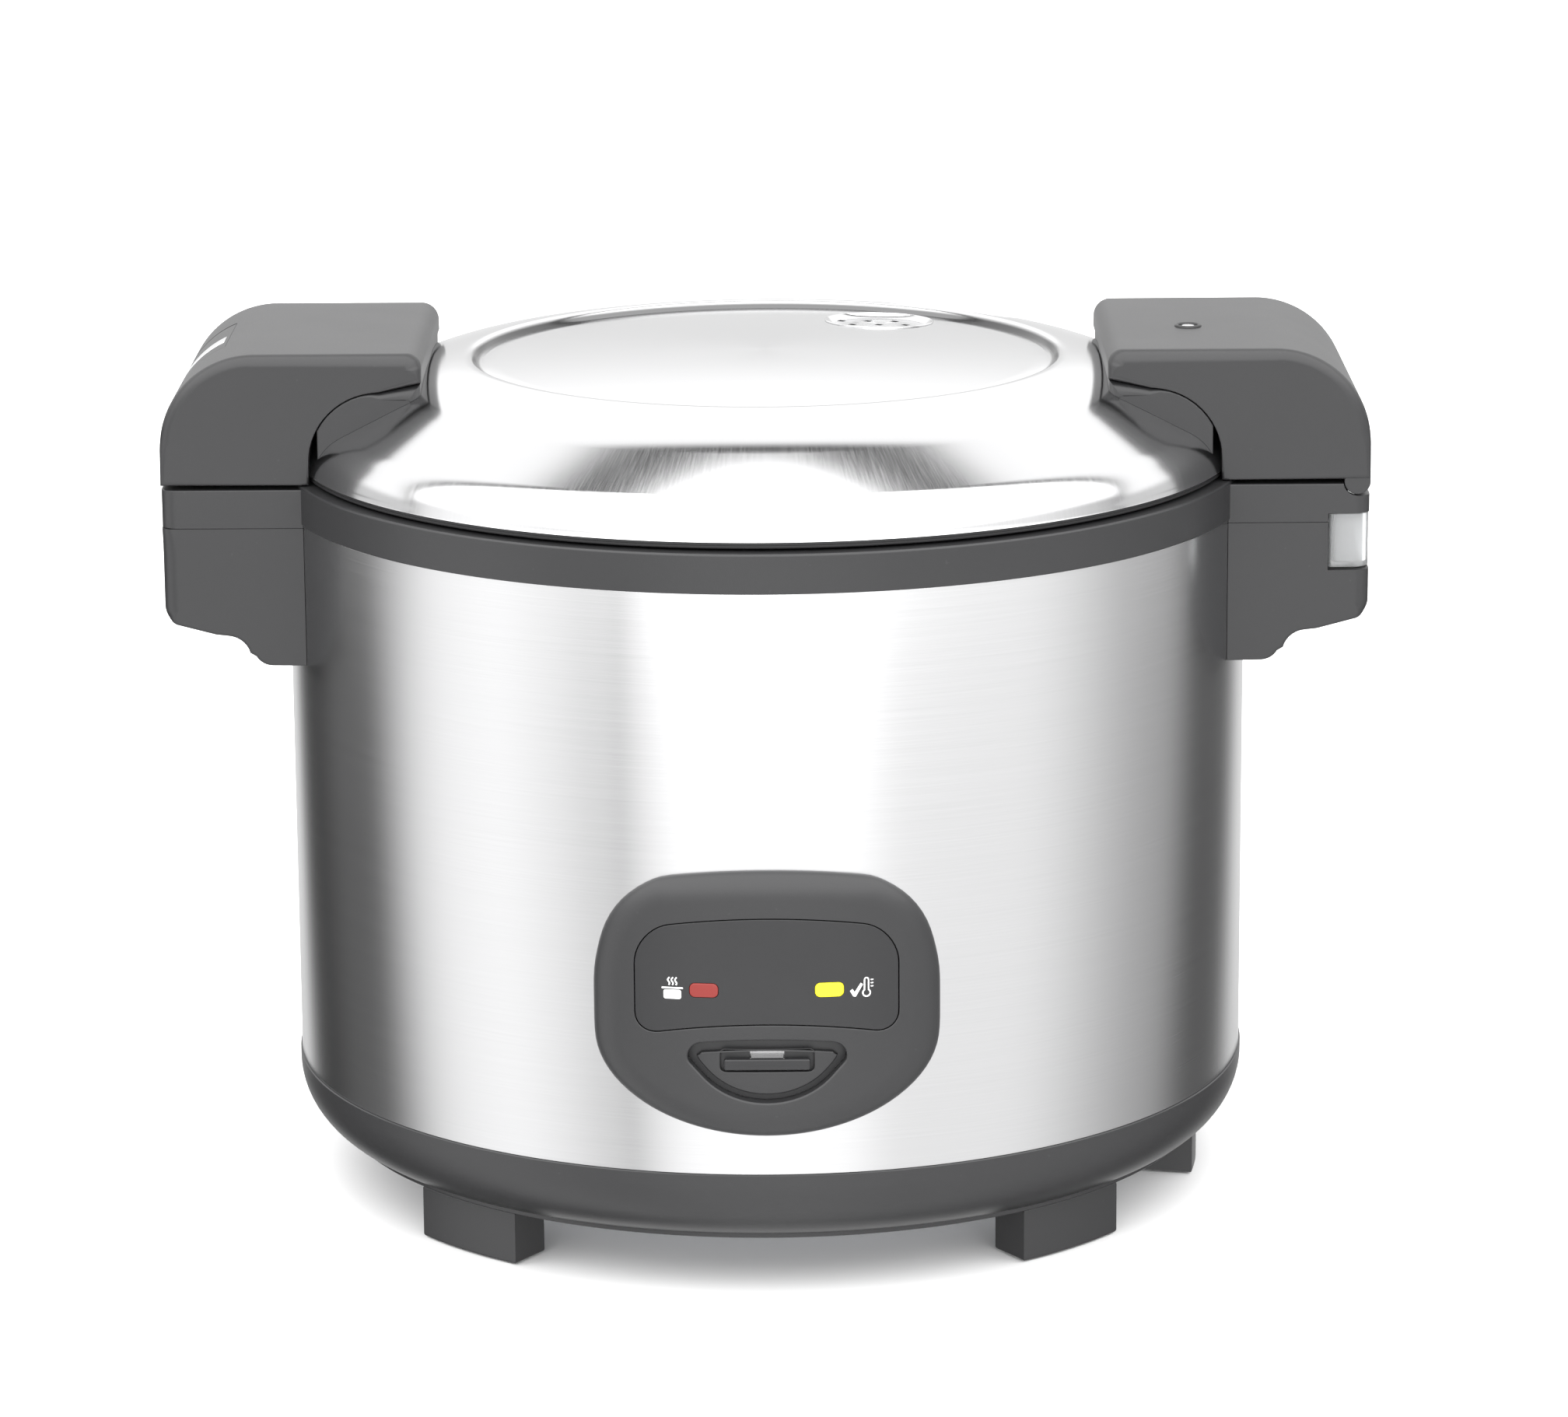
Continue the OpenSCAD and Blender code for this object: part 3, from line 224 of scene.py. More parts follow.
def smoothed(values, passes):
    for _ in range(passes):
        values = [(values[i - 1] + 2 * v + values[(i + 1) % len(values)]) / 4 for i, v in enumerate(values)]
    return values


def inside(point, outline):
    """True if the point lies in the outline."""
    x, y = point
    hit = False
    for (x0, y0), (x1, y1) in zip(outline, outline[1:] + outline[:1]):
        if (y0 > y) != (y1 > y) and x < (x1 - x0) * (y - y0) / (y1 - y0) + x0:
            hit = not hit
    return hit


# ---------------------------------------------------------------- meshes


def new_object(name, bm, smooth=35):
    """Turns a bmesh in millimetres into an object in metres, shaded smooth up to an angle."""
    bmesh.ops.remove_doubles(bm, verts=bm.verts, dist=0.002)
    bmesh.ops.recalc_face_normals(bm, faces=bm.faces)
    for v in bm.verts:
        v.co *= MM
    mesh = bpy.data.meshes.new(name)
    bm.to_mesh(mesh)
    bm.free()
    mesh.shade_smooth()
    mesh.set_sharp_from_angle(angle=math.radians(smooth))
    made = bpy.data.objects.new(name, mesh)
    bpy.context.scene.collection.objects.link(made)
    return made


def applied(made):
    """Turns the object's modifiers into its plain mesh."""
    bpy.context.view_layer.update()
    graph = bpy.context.evaluated_depsgraph_get()
    mesh = bpy.data.meshes.new_from_object(made.evaluated_get(graph))
    made.modifiers.clear()
    made.data = mesh
    return made


def even_shading(made):
    """Keeps flat faces flat beside their rounded edges."""
    weighted = made.modifiers.new("even", "WEIGHTED_NORMAL")
    weighted.keep_sharp = True
    weighted.weight = 80
    return applied(made)


def combine(made, other, operation="DIFFERENCE"):
    """Cuts the other object away, or joins it, as a solid. The other object is used up."""
    step = made.modifiers.new("solid", "BOOLEAN")
    step.operation = operation
    step.solver = "EXACT"
    step.object = other
    applied(made)
    bpy.data.objects.remove(other)
    mesh = made.data
    mesh.shade_smooth()
    mesh.set_sharp_from_angle(angle=math.radians(35))
    return made


def joined(name, parts):
    """One object from several that stay separate shells."""
    bm = bmesh.new()
    for part in parts:
        bm.from_mesh(part.data)
        bpy.data.objects.remove(part)
    for v in bm.verts:
        v.co /= MM
    return new_object(name, bm)


def ring_faces(bm, lower, upper):
    count = len(lower)
    for i in range(count):
        j = (i + 1) % count
        quad = [lower[i], lower[j], upper[j], upper[i]]
        distinct = list(dict.fromkeys(quad))
        if len(distinct) > 2:
            bm.faces.new(distinct)


def turned(name, section, centre=(0, 0), smooth=35):
    """Turns a half section of radius and height about a vertical axis."""
    steps = sizes().turn_steps
    bm = bmesh.new()
    loops = []
    for r, z in section:
        if r < 0.001:
            loops.append([bm.verts.new((centre[0], centre[1], z))] * steps)
        else:
            turn = [2 * math.pi * i / steps for i in range(steps)]
            loops.append([bm.verts.new((centre[0] + r * math.cos(a), centre[1] + r * math.sin(a), z))
                          for a in turn])
    open_ends = section[0][0] < 0.001 and section[-1][0] < 0.001
    for lower, upper in zip(loops, loops[1:] + ([] if open_ends else loops[:1])):
        ring_faces(bm, lower, upper)
    return new_object(name, bm, smooth)


def slab(name, outline, edge, low, high, along="Y", side=1, steps=5, smooth=35, seam=None):
    """Pulls an outline along an axis between two ends whose edges are rounded.

    edge is one radius, or a function of the two outline coordinates. Points at the seam's height
    stay on it."""
    points = tidy(outline)
    radii = [edge(*p) for p in points] if callable(edge) else [edge] * len(points)
    radii = smoothed(radii, 3) if callable(edge) else radii
    bm = bmesh.new()
    loops = []
    for end, way in ((low, 1), (high, -1)):
        turns = [90 - 90 * k / steps for k in range(steps + 1)]
        for t in turns if way > 0 else turns[::-1]:
            c, s = math.cos(math.radians(t)), math.sin(math.radians(t))
            ring = inset(points, [r * (1 - c) for r in radii])
            loop = []
            for (u, v), (_, start), r in zip(ring, points, radii):
                w = end + way * r * (1 - s)
                if seam is not None and abs(start - seam) < 0.01:
                    v = seam
                loop.append(bm.verts.new((side * u, w, v) if along == "Y" else (side * u, v, w)))
            loops.append(loop)
    for lower, upper in zip(loops, loops[1:]):
        ring_faces(bm, lower, upper)
    bm.faces.new(loops[0][::-1])
    bm.faces.new(loops[-1])
    return new_object(name, bm, smooth)


def patch(outer, holes, step):
    """Triangles between an outline and its holes, with a grid of points inside."""
    loops = [outer, *holes]
    points = [Vector(p) for loop in loops for p in loop]
    edges = []
    first = 0
    for loop in loops:
        edges += [(first + i, first + (i + 1) % len(loop)) for i in range(len(loop))]
        first += len(loop)
    xs, ys = [p[0] for p in outer], [p[1] for p in outer]
    clear = [inset(outer, step * 0.4)] + [inset(tidy(h)[::1], -step * 0.4) for h in holes]
    x = min(xs) + step / 2
    while x < max(xs):
        y = min(ys) + step / 2
        while y < max(ys):
            if inside((x, y), clear[0]) and not any(inside((x, y), c) for c in clear[1:]):
                points.append(Vector((x, y)))
            y += step
        x += step
    flat, _, faces, origin, _, _ = delaunay_2d_cdt(points, edges, [], 1, 1e-5)
    kept = []
    for face in faces:
        middle = sum((flat[i] for i in face), Vector((0, 0))) / len(face)
        if inside(middle, outer) and not any(inside(middle, h) for h in holes):
            kept.append(face)
    return flat, kept, origin


def plate(name, outer_rings, hole_rings, place, step=5, smooth=35):
    """A curved plate: rings of outline and level from back to front, each hole's from front to back."""
    bm = bmesh.new()

    def loop_of(ring):
        outline, level = ring
        return [bm.verts.new(place(u, v, level)) for u, v in outline]

    outer = [loop_of(ring) for ring in outer_rings]
    holes = [[loop_of(ring) for ring in rings] for rings in hole_rings]
    for loops in [outer, *holes]:
        for lower, upper in zip(loops, loops[1:]):
            ring_faces(bm, lower, upper)
    for at, hole_at in ((-1, 0), (0, -1)):
        outline, level = outer_rings[at]
        hole_outlines = [rings[hole_at][0] for rings in hole_rings]
        flat, faces, origin = patch(outline, hole_outlines, step)
        edge_verts = outer[at] + [v for loops in holes for v in loops[hole_at]]
        verts = []
        for i, p in enumerate(flat):
            source = [k for k in origin[i] if k < len(edge_verts)]
            verts.append(edge_verts[source[0]] if source else bm.verts.new(place(p.x, p.y, level)))
        for face in faces:
            corners = list(dict.fromkeys(verts[i] for i in face))
            if len(corners) == 3:
                bm.faces.new(corners)
    return new_object(name, bm, smooth)


def rounded_rings(outline, back, front, r, steps=4):
    """Rings of a plate's outer side: straight up from the back, then a quarter round to the front."""
    rings = [(outline, back)]
    for k in range(steps + 1):
        t = math.radians(90 * k / steps)
        rings.append((inset(outline, r * (1 - math.cos(t))), front - r + r * math.sin(t)))
    return rings


def hole_rings(outline, back, front, r, steps=3):
    """Rings of a hole's side: a quarter round down from the front, then straight to the back."""
    rings = []
    for k in range(steps, -1, -1):
        t = math.radians(90 * k / steps)
        rings.append((inset(outline, -r * (1 - math.cos(t))), front - r + r * math.sin(t)))
    return rings + [(outline, back)]


def front(z):
    """Places a plate on the round front of the body: level is the distance from the axis."""
    def place(u, v, level):
        return (u, -math.sqrt(level * level - u * u), z + v)
    return place


# ---------------------------------------------------------------- nodes


class Val:
    """A socket that takes part in sums."""

    def __init__(self, nodes, socket):
        self.nodes, self.socket = nodes, socket

    def _math(self, operation, a, b):
        return self.nodes.value("ShaderNodeMath", {0: a, 1: b}, operation=operation)

    def __add__(self, other): return self._math("ADD", self, other)
    def __radd__(self, other): return self._math("ADD", other, self)
    def __sub__(self, other): return self._math("SUBTRACT", self, other)
    def __rsub__(self, other): return self._math("SUBTRACT", other, self)
    def __mul__(self, other): return self._math("MULTIPLY", self, other)
    def __rmul__(self, other): return self._math("MULTIPLY", other, self)
    def __truediv__(self, other): return self._math("DIVIDE", self, other)
    def __rtruediv__(self, other): return self._math("DIVIDE", other, self)


class Nodes:
    """Adds nodes to one tree."""

    def __init__(self, tree):
        self.tree = tree

    def add(self, kind, inputs=None, **settings):
        node = self.tree.nodes.new(kind)
        for key, setting in settings.items():
            setattr(node, key, setting)
        for key, value in (inputs or {}).items():
            if isinstance(value, Val):
                self.tree.links.new(value.socket, node.inputs[key])
            else:
                node.inputs[key].default_value = value
        return node

    def value(self, kind, inputs=None, output=0, **settings):
        return Val(self, self.add(kind, inputs, **settings).outputs[output])

    def smooth(self, value, start, end):
        """0 below start, 1 above end, smooth between."""
        return self.value("ShaderNodeMapRange", {"Value": value, "From Min": start, "From Max": end},
                          interpolation_type="SMOOTHSTEP")

    def mix(self, factor, a, b):
        """Mixes two colours."""
        node = self.add("ShaderNodeMix", data_type="RGBA")
        for index, value in ((0, factor), (6, a), (7, b)):
            if isinstance(value, Val):
                self.tree.links.new(value.socket, node.inputs[index])
            else:
                node.inputs[index].default_value = value
        return Val(self, node.outputs[2])


def rgba(colour, gain=1.0):
    return tuple(min(c * gain, 1.0) for c in colour[:3]) + (1.0,)


def new_material(name):
    """An empty node material with its nodes and principled shader."""
    made = bpy.data.materials.new(name)
    made.use_nodes = True
    made.node_tree.nodes.clear()
    nodes = Nodes(made.node_tree)
    shader = nodes.add("ShaderNodeBsdfPrincipled")
    output = nodes.add("ShaderNodeOutputMaterial")
    made.node_tree.links.new(shader.outputs[0], output.inputs[0])
    return made, nodes, shader


def set_shader(nodes, shader, values):
    for key, value in values.items():
        if isinstance(value, Val):
            nodes.tree.links.new(value.socket, shader.inputs[key])
        else:
            shader.inputs[key].default_value = value


def object_place(nodes, scale):
    """Object coordinates times a scale for each axis."""
    place = nodes.value("ShaderNodeTexCoord", output="Object")
    return nodes.value("ShaderNodeVectorMath", {0: place, 1: scale}, operation="MULTIPLY")


def noise(nodes, vector, scale, detail=2.0, roughness=0.5):
    return nodes.value("ShaderNodeTexNoise", {"Vector": vector, "Scale": scale, "Detail": detail,
                                              "Roughness": roughness})


def bump(nodes, height, depth, strength=1.0):
    return nodes.value("ShaderNodeBump", {"Height": height, "Distance": depth, "Strength": strength})


def moulded(name, colour, rough=0.52, grain=0.45, depth=0.02, coat=0.0):
    """Moulded plastic with a spark-eroded texture; grain and depth in millimetres."""
    made, nodes, shader = new_material(name)
    place = object_place(nodes, (1, 1, 1))
    fine = noise(nodes, place, 1 / (grain * MM), 3.0, 0.6)
    broad = noise(nodes, place, 22.0, 2.0)
    dust = nodes.smooth(noise(nodes, place, 420.0, 1.0), 0.76, 0.80)
    tone = nodes.mix(broad, rgba(colour, 0.93), rgba(colour, 1.07))
    set_shader(nodes, shader, {
        "Base Color": nodes.mix(dust * 0.25, tone, rgba(colour, 2.2)),
        "Roughness": rough + (fine - 0.5) * 0.12 + (broad - 0.5) * 0.06,
        "Normal": bump(nodes, fine, depth * MM),
        "Specular IOR Level": 0.46,
        "Coat Weight": coat,
    })
    return made


def glossy(name, colour, rough=0.12, **more):
    """Polished plastic with a faint ripple."""
    made, nodes, shader = new_material(name)
    place = object_place(nodes, (1, 1, 1))
    ripple = noise(nodes, place, 60.0, 1.0)
    haze = noise(nodes, place, 900.0, 2.0)
    set_shader(nodes, shader, {
        "Base Color": nodes.mix(ripple, rgba(colour, 0.96), rgba(colour, 1.04)),
        "Roughness": rough + (haze - 0.5) * 0.04,
        "Normal": bump(nodes, ripple, 0.01 * MM),
        "Specular IOR Level": 0.36,
        **more,
    })
    return made


def brushed(name, colour, strokes, rough, anisotropy, turn, depth=0.004):
    """Brushed metal; strokes says how fast the grain changes along X, Y and Z, per metre."""
    made, nodes, shader = new_material(name)
    place = object_place(nodes, strokes)
    grain = noise(nodes, place, 1.0, 4.0, 0.65)
    broad = noise(nodes, object_place(nodes, (1, 1, 1)), 9.0, 2.0)
    set_shader(nodes, shader, {
        "Metallic": 1.0,
        "Base Color": nodes.mix(grain, rgba(colour, 0.93), rgba(colour, 1.06)),
        "Roughness": rough + (grain - 0.5) * 0.08 + (broad - 0.5) * 0.03,
        "Normal": bump(nodes, grain, depth * MM),
        "Anisotropic": anisotropy,
        "Anisotropic Rotation": turn,
    })
    return made


def lid_steel(name, colour):
    """Spun and brushed lid: short strokes that run down its slope; a thin ring of painted shade darkens the
    colour at the crease.
    """
    made, nodes, shader = new_material(name)
    place = nodes.value("ShaderNodeTexCoord", output="Object")
    flat = nodes.value("ShaderNodeVectorMath", {0: place, 1: (1, 1, 0)}, operation="MULTIPLY")
    length = nodes.value("ShaderNodeVectorMath", {0: flat}, output=1, operation="LENGTH")
    way = nodes.value("ShaderNodeVectorMath", {0: flat}, operation="NORMALIZE")
    around = nodes.value("ShaderNodeVectorMath", {0: way, 1: (260, 260, 0)}, operation="MULTIPLY")
    down = nodes.value("ShaderNodeCombineXYZ", {"Z": length * 90})
    stroke_place = nodes.value("ShaderNodeVectorMath", {0: around, 1: down}, operation="ADD")
    strokes = noise(nodes, stroke_place, 1.0, 3.0, 0.6)
    broad = noise(nodes, place, 14.0, 2.0)
    # painted shade: within 0.7 mm of the crease the base colour falls to 0.16 of the steel, fading back by 2
    # mm, standing in for the shadow in the groove
    off = nodes.value("ShaderNodeMath", {0: length - (sizes().crease_r + 0.6) * MM}, operation="ABSOLUTE")
    bright = nodes.mix(strokes, rgba(colour, 0.95), rgba(colour, 1.04))
    set_shader(nodes, shader, {
        "Metallic": 1.0,
        "Base Color": nodes.mix(nodes.smooth(off, 0.0007, 0.002), rgba(colour, 0.16), bright),
        "Roughness": 0.14 + (strokes - 0.5) * 0.08 + (broad - 0.5) * 0.03,
        "Normal": bump(nodes, strokes, 0.001 * MM),
        "Anisotropic": 0.5,
        "Anisotropic Rotation": 0.0,
    })
    return made


def clear_plastic(name):
    made, nodes, shader = new_material(name)
    haze = noise(nodes, object_place(nodes, (1, 1, 1)), 240.0, 2.0)
    set_shader(nodes, shader, {
        "Base Color": (0.74, 0.75, 0.755, 1),
        "Roughness": 0.12 + haze * 0.08,
        "Transmission Weight": 0.8,
        "IOR": 1.45,
    })
    return made


def flecked(name, colour, second, scale, rough=0.8):
    """Two tones in fine flecks, for mica, felt and boards."""
    made, nodes, shader = new_material(name)
    flecks = noise(nodes, object_place(nodes, (1, 1, 1)), scale, 4.0, 0.7)
    set_shader(nodes, shader, {
        "Base Color": nodes.mix(nodes.smooth(flecks, 0.42, 0.6), rgba(colour), rgba(second)),
        "Roughness": rough - flecks * 0.15,
        "Normal": bump(nodes, flecks, 0.05 * MM),
    })
    return made


def make_finishes():
    c = colours()
    made = {
        "body_plastic": moulded("grey moulding", c.plastic, rough=0.36),
        "dark_plastic": moulded("dark moulding", c.dark, rough=0.42, grain=0.3, depth=0.008),
        "window_gloss": glossy("smoked window", c.window, 0.2),
        "shell_steel": brushed("steel brushed round", c.steel, (14, 14, 5200), 0.25, 0.75, 0.25, 0.0008),
        "lid_steel": lid_steel("lid steel", c.lid),
        "plated_steel": brushed("plated steel", (0.52, 0.53, 0.55), (220, 220, 220), 0.33, 0.0, 0.0, 0.01),
        "pot_aluminium": brushed("spun aluminium", (0.72, 0.72, 0.73), (40, 40, 1400), 0.3, 0.4, 0.25),
        "cast_plate": brushed("cast plate", (0.5, 0.5, 0.51), (500, 500, 500), 0.45, 0.0, 0.0, 0.03),
        "rubber_black": moulded("black rubber", (0.018, 0.018, 0.018), rough=0.75, grain=0.8),
        "seal_grey": moulded("grey silicone", (0.24, 0.24, 0.245), rough=0.5, grain=1.2, depth=0.01),
        "lens_red": glossy("red lens", c.red, 0.3,
                           **{"Emission Color": rgba(c.red), "Emission Strength": 0.12}),
        "lens_yellow": glossy("yellow lens", c.yellow, 0.3,
                              **{"Emission Color": rgba(c.yellow), "Emission Strength": 0.35}),
        "cup_clear": clear_plastic("clear plastic"),
        "mica_band": flecked("mica", (0.36, 0.28, 0.14), (0.5, 0.42, 0.26), 300),
        "wool_pad": flecked("mineral wool", (0.62, 0.55, 0.38), (0.75, 0.7, 0.55), 500, 0.95),
        "pin_brass": brushed("brass pins", (0.75, 0.58, 0.28), (300, 300, 1500), 0.25, 0.0, 0.0),
        "ceramic_white": flecked("cream insulator", (0.74, 0.71, 0.64), (0.8, 0.78, 0.72), 700, 0.7),
        "label_white": glossy("blank film", (0.9, 0.9, 0.89), 0.28),
        "inlay_silver": brushed("satin strip", (0.82, 0.82, 0.83), (900, 40, 900), 0.3, 0.0, 0.0),
        "board_green": flecked("lamp board", (0.03, 0.16, 0.06), (0.05, 0.22, 0.09), 900, 0.6),
        "lever_gloss": glossy("lever bar", (0.02, 0.02, 0.021), 0.16),
        "symbol_print": glossy("white print", (0.86, 0.86, 0.86), 0.45),
    }
    return made


def dress(made, slot_name, body, *nodes, finish=None):
    """Gives a piece its finish, its body and the CAD nodes that it stands for."""
    made.data.materials.clear()
    made.data.materials.append(bpy.data.materials[FINISHES[finish or slot_name]])
    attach(made, body)
    if nodes:
        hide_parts(*nodes)
    return made


FINISHES = {}


# ---------------------------------------------------------------- geometry node trees


def node_group(name, sockets):
    """A geometry node tree with a geometry input and named inputs."""
    tree = bpy.data.node_groups.new(name, "GeometryNodeTree")
    tree.interface.new_socket("Geometry", in_out="INPUT", socket_type="NodeSocketGeometry")
    tree.interface.new_socket("Geometry", in_out="OUTPUT", socket_type="NodeSocketGeometry")
    for label, kind, default in sockets:
        item = tree.interface.new_socket(label, in_out="INPUT", socket_type=kind)
        if default is not None:
            item.default_value = default
    nodes = Nodes(tree)
    start = nodes.add("NodeGroupInput")
    inputs = {s.name: Val(nodes, s) for s in start.outputs if s.name}
    return tree, nodes, inputs


def close_tree(nodes, geometry, material):
    """Ends a tree in Realize Instances and Set Material."""
    real = nodes.value("GeometryNodeRealizeInstances", {"Geometry": geometry})
    set_material = nodes.add("GeometryNodeSetMaterial", {"Geometry": real, "Material": material})
    output = nodes.add("NodeGroupOutput")
    nodes.tree.links.new(set_material.outputs[0], output.inputs[0])


def repeat_tree():
    """Puts a piece on each point, turned about Z by the point's turn."""
    tree, nodes, inputs = node_group("repeat on points", [
        ("Piece", "NodeSocketObject", None), ("Scale", "NodeSocketFloat", 1.0),
        ("Material", "NodeSocketMaterial", None)])
    turn = nodes.value("GeometryNodeInputNamedAttribute", {"Name": "turn"}, data_type="FLOAT")
    rotation = nodes.value("ShaderNodeCombineXYZ", {"Z": turn})
    piece = nodes.value("GeometryNodeObjectInfo", {"Object": inputs["Piece"]}, output="Geometry")
    placed = nodes.value("GeometryNodeInstanceOnPoints", {
        "Points": inputs["Geometry"], "Instance": piece, "Rotation": rotation, "Scale": inputs["Scale"]})
    close_tree(nodes, placed, inputs["Material"])
    return tree


def sheet_tree():
    """A rolled sheet: a rounded strip section carried round a circle."""
    tree, nodes, inputs = node_group("rolled sheet", [
        ("Radius", "NodeSocketFloat", 0.1), ("Height", "NodeSocketFloat", 0.1),
        ("Wall", "NodeSocketFloat", 0.001), ("Floor", "NodeSocketFloat", 0.0),
        ("Steps", "NodeSocketInt", 64), ("Material", "NodeSocketMaterial", None)])
    circle = nodes.value("GeometryNodeCurvePrimitiveCircle", {
        "Resolution": inputs["Steps"], "Radius": inputs["Radius"] - inputs["Wall"] / 2})
    strip = nodes.value("GeometryNodeCurvePrimitiveQuadrilateral", {
        "Width": inputs["Wall"], "Height": inputs["Height"]})
    soft = nodes.value("GeometryNodeFilletCurve", {"Curve": strip, "Radius": inputs["Wall"] / 3, "Count": 3},
                       mode="POLY")
    sheet = nodes.value("GeometryNodeCurveToMesh", {"Curve": circle, "Profile Curve": soft})
    lift = nodes.value("ShaderNodeCombineXYZ", {"Z": inputs["Floor"] + inputs["Height"] / 2})
    moved = nodes.value("GeometryNodeSetPosition", {"Geometry": sheet, "Offset": lift})
    close_tree(nodes, moved, inputs["Material"])
    return tree


def run_tree(name, tree, base, values):
    """Runs a tree on a base mesh and returns the result as a plain object."""
    made = bpy.data.objects.new(name, base)
    bpy.context.scene.collection.objects.link(made)
    step = made.modifiers.new("shape", "NODES")
    step.node_group = tree
    names = {item.name: item.identifier for item in tree.interface.items_tree if item.in_out == "INPUT"}
    for label, value in values.items():
        step[names[label]] = value
    return applied(made)


def repeated(name, piece, places, finish):
    """Copies of a small piece at places given as x, y, z in millimetres and a turn in degrees."""
    base = bpy.data.meshes.new(name)
    base.from_pydata([(x * MM, y * MM, z * MM) for x, y, z, _ in places], [], [])
    turns = base.attributes.new("turn", "FLOAT", "POINT")
    turns.data.foreach_set("value", [math.radians(t) for *_, t in places])
    tree = bpy.data.node_groups.get("repeat on points") or repeat_tree()
    made = run_tree(name, tree, base, {
        "Piece": piece, "Scale": 1.0, "Material": bpy.data.materials[FINISHES[finish]]})
    bpy.data.objects.remove(piece)
    made.data.shade_smooth()
    made.data.set_sharp_from_angle(angle=math.radians(35))
    return made


# ---------------------------------------------------------------- handles


def upper_outline(round_top):
    """Upper handle seen from the front: outer crown, flat top, tip and the arch over the lid."""
    arch_x, arch_r = LID_R - 36, 27
    arch_z = BLOCK_Z - 14.3 - arch_r
    return (arc(arch_x, arch_z, arch_r, 90, 0, 14)
            + [(arch_x + arch_r, BLOCK_FOOT), (REACH, BLOCK_FOOT)]
            + arc(REACH - round_top, BLOCK_Z - round_top, round_top, 0, 90, 28)
            + arc(BLOCK_IN + 6, BLOCK_Z - 6, 6, 90, 180, 8) + [(BLOCK_IN, BLOCK_Z - 11)])


def upper_edge(x, z):
    """Edge round of an upper handle at a point of its outline."""
    s = sizes()
    if x < BLOCK_IN + 5 and z > BLOCK_Z - 10.9:
        return s.tip_round * 0.8
    if z > BLOCK_Z - 0.5 or x > REACH - 0.5 and z > BLOCK_FOOT + 1:
        return s.top_round
    crown = (x - REACH + s.button_r, z - BLOCK_Z + s.button_r)
    if crown[0] > 0 and crown[1] > 0 and math.hypot(*crown) > s.button_r - 0.5:
        return s.top_round
    return s.small_round


def upper_shell(name, side):
    s = sizes()
    made = slab(name, upper_outline(s.button_r), upper_edge, -HALF_W, HALF_W, side=side)
    wall = 3.0
    arch_x, arch_r = LID_R - 36, 27
    arch_z = BLOCK_Z - 14.3 - arch_r
    hollow = [(arch_x + arch_r + wall, BLOCK_FOOT - 2), (REACH - wall, BLOCK_FOOT - 2)]
    hollow += arc(REACH - s.button_r, BLOCK_Z - s.button_r, s.button_r - wall, 0, 90, 16)
    hollow += [(arch_x, BLOCK_Z - wall)] + arc(arch_x, arch_z, arch_r + wall, 90, 0, 8)
    return combine(made, slab("hollow", hollow, 0.5, -HALF_W + wall, HALF_W - wall, side=side, steps=2))


def handle_foot(name, side):
    """Foot between an upper handle's tip and the lid, cut to the lid's slope."""
    s = sizes()
    tip = BLOCK_IN + 0.5
    arch_x, arch_r = LID_R - 36, 27
    arch_z = BLOCK_Z - 14.3 - arch_r
    outline = [(tip, BLOCK_Z - 11.6)] + arc(arch_x, arch_z, arch_r - 0.3, 90, 28, 8)
    outline += [(arch_x + 23.6, Z_TOP + 1), (tip + 4, Z_TOP + 1), (tip + 4, BLOCK_Z - 24)]
    outline += arc(tip + 4.5, BLOCK_Z - 17.5, 4.5, 215, 180, 4)
    made = slab(name, tidy(outline), lambda x, z: s.tip_round * 0.8 if x < tip + 4 else s.small_round,
                -HALF_W + 0.4, HALF_W - 0.4, side=side)
    under = [(0, Z_TOP)] + [(LID_R, Z_TOP)] + lid_line(-0.05)
    return combine(made, turned("under lid", under))


def crown_band(name, r_out, r_in, half, y0, y1, edge, side=-1):
    """A curved strip that follows the handle's crown; its ends run along the button's travel."""
    s = sizes()
    cx, cz = REACH - s.button_r, BLOCK_Z - s.button_r
    a_out, a_in = (math.degrees(math.asin(half / r)) for r in (r_out, r_in))
    outline = arc(cx, cz, r_out, 45 - a_out, 45 + a_out, 14) + arc(cx, cz, r_in, 45 + a_in, 45 - a_in, 14)
    return slab(name, outline, edge, y0, y1, side=side, steps=3)


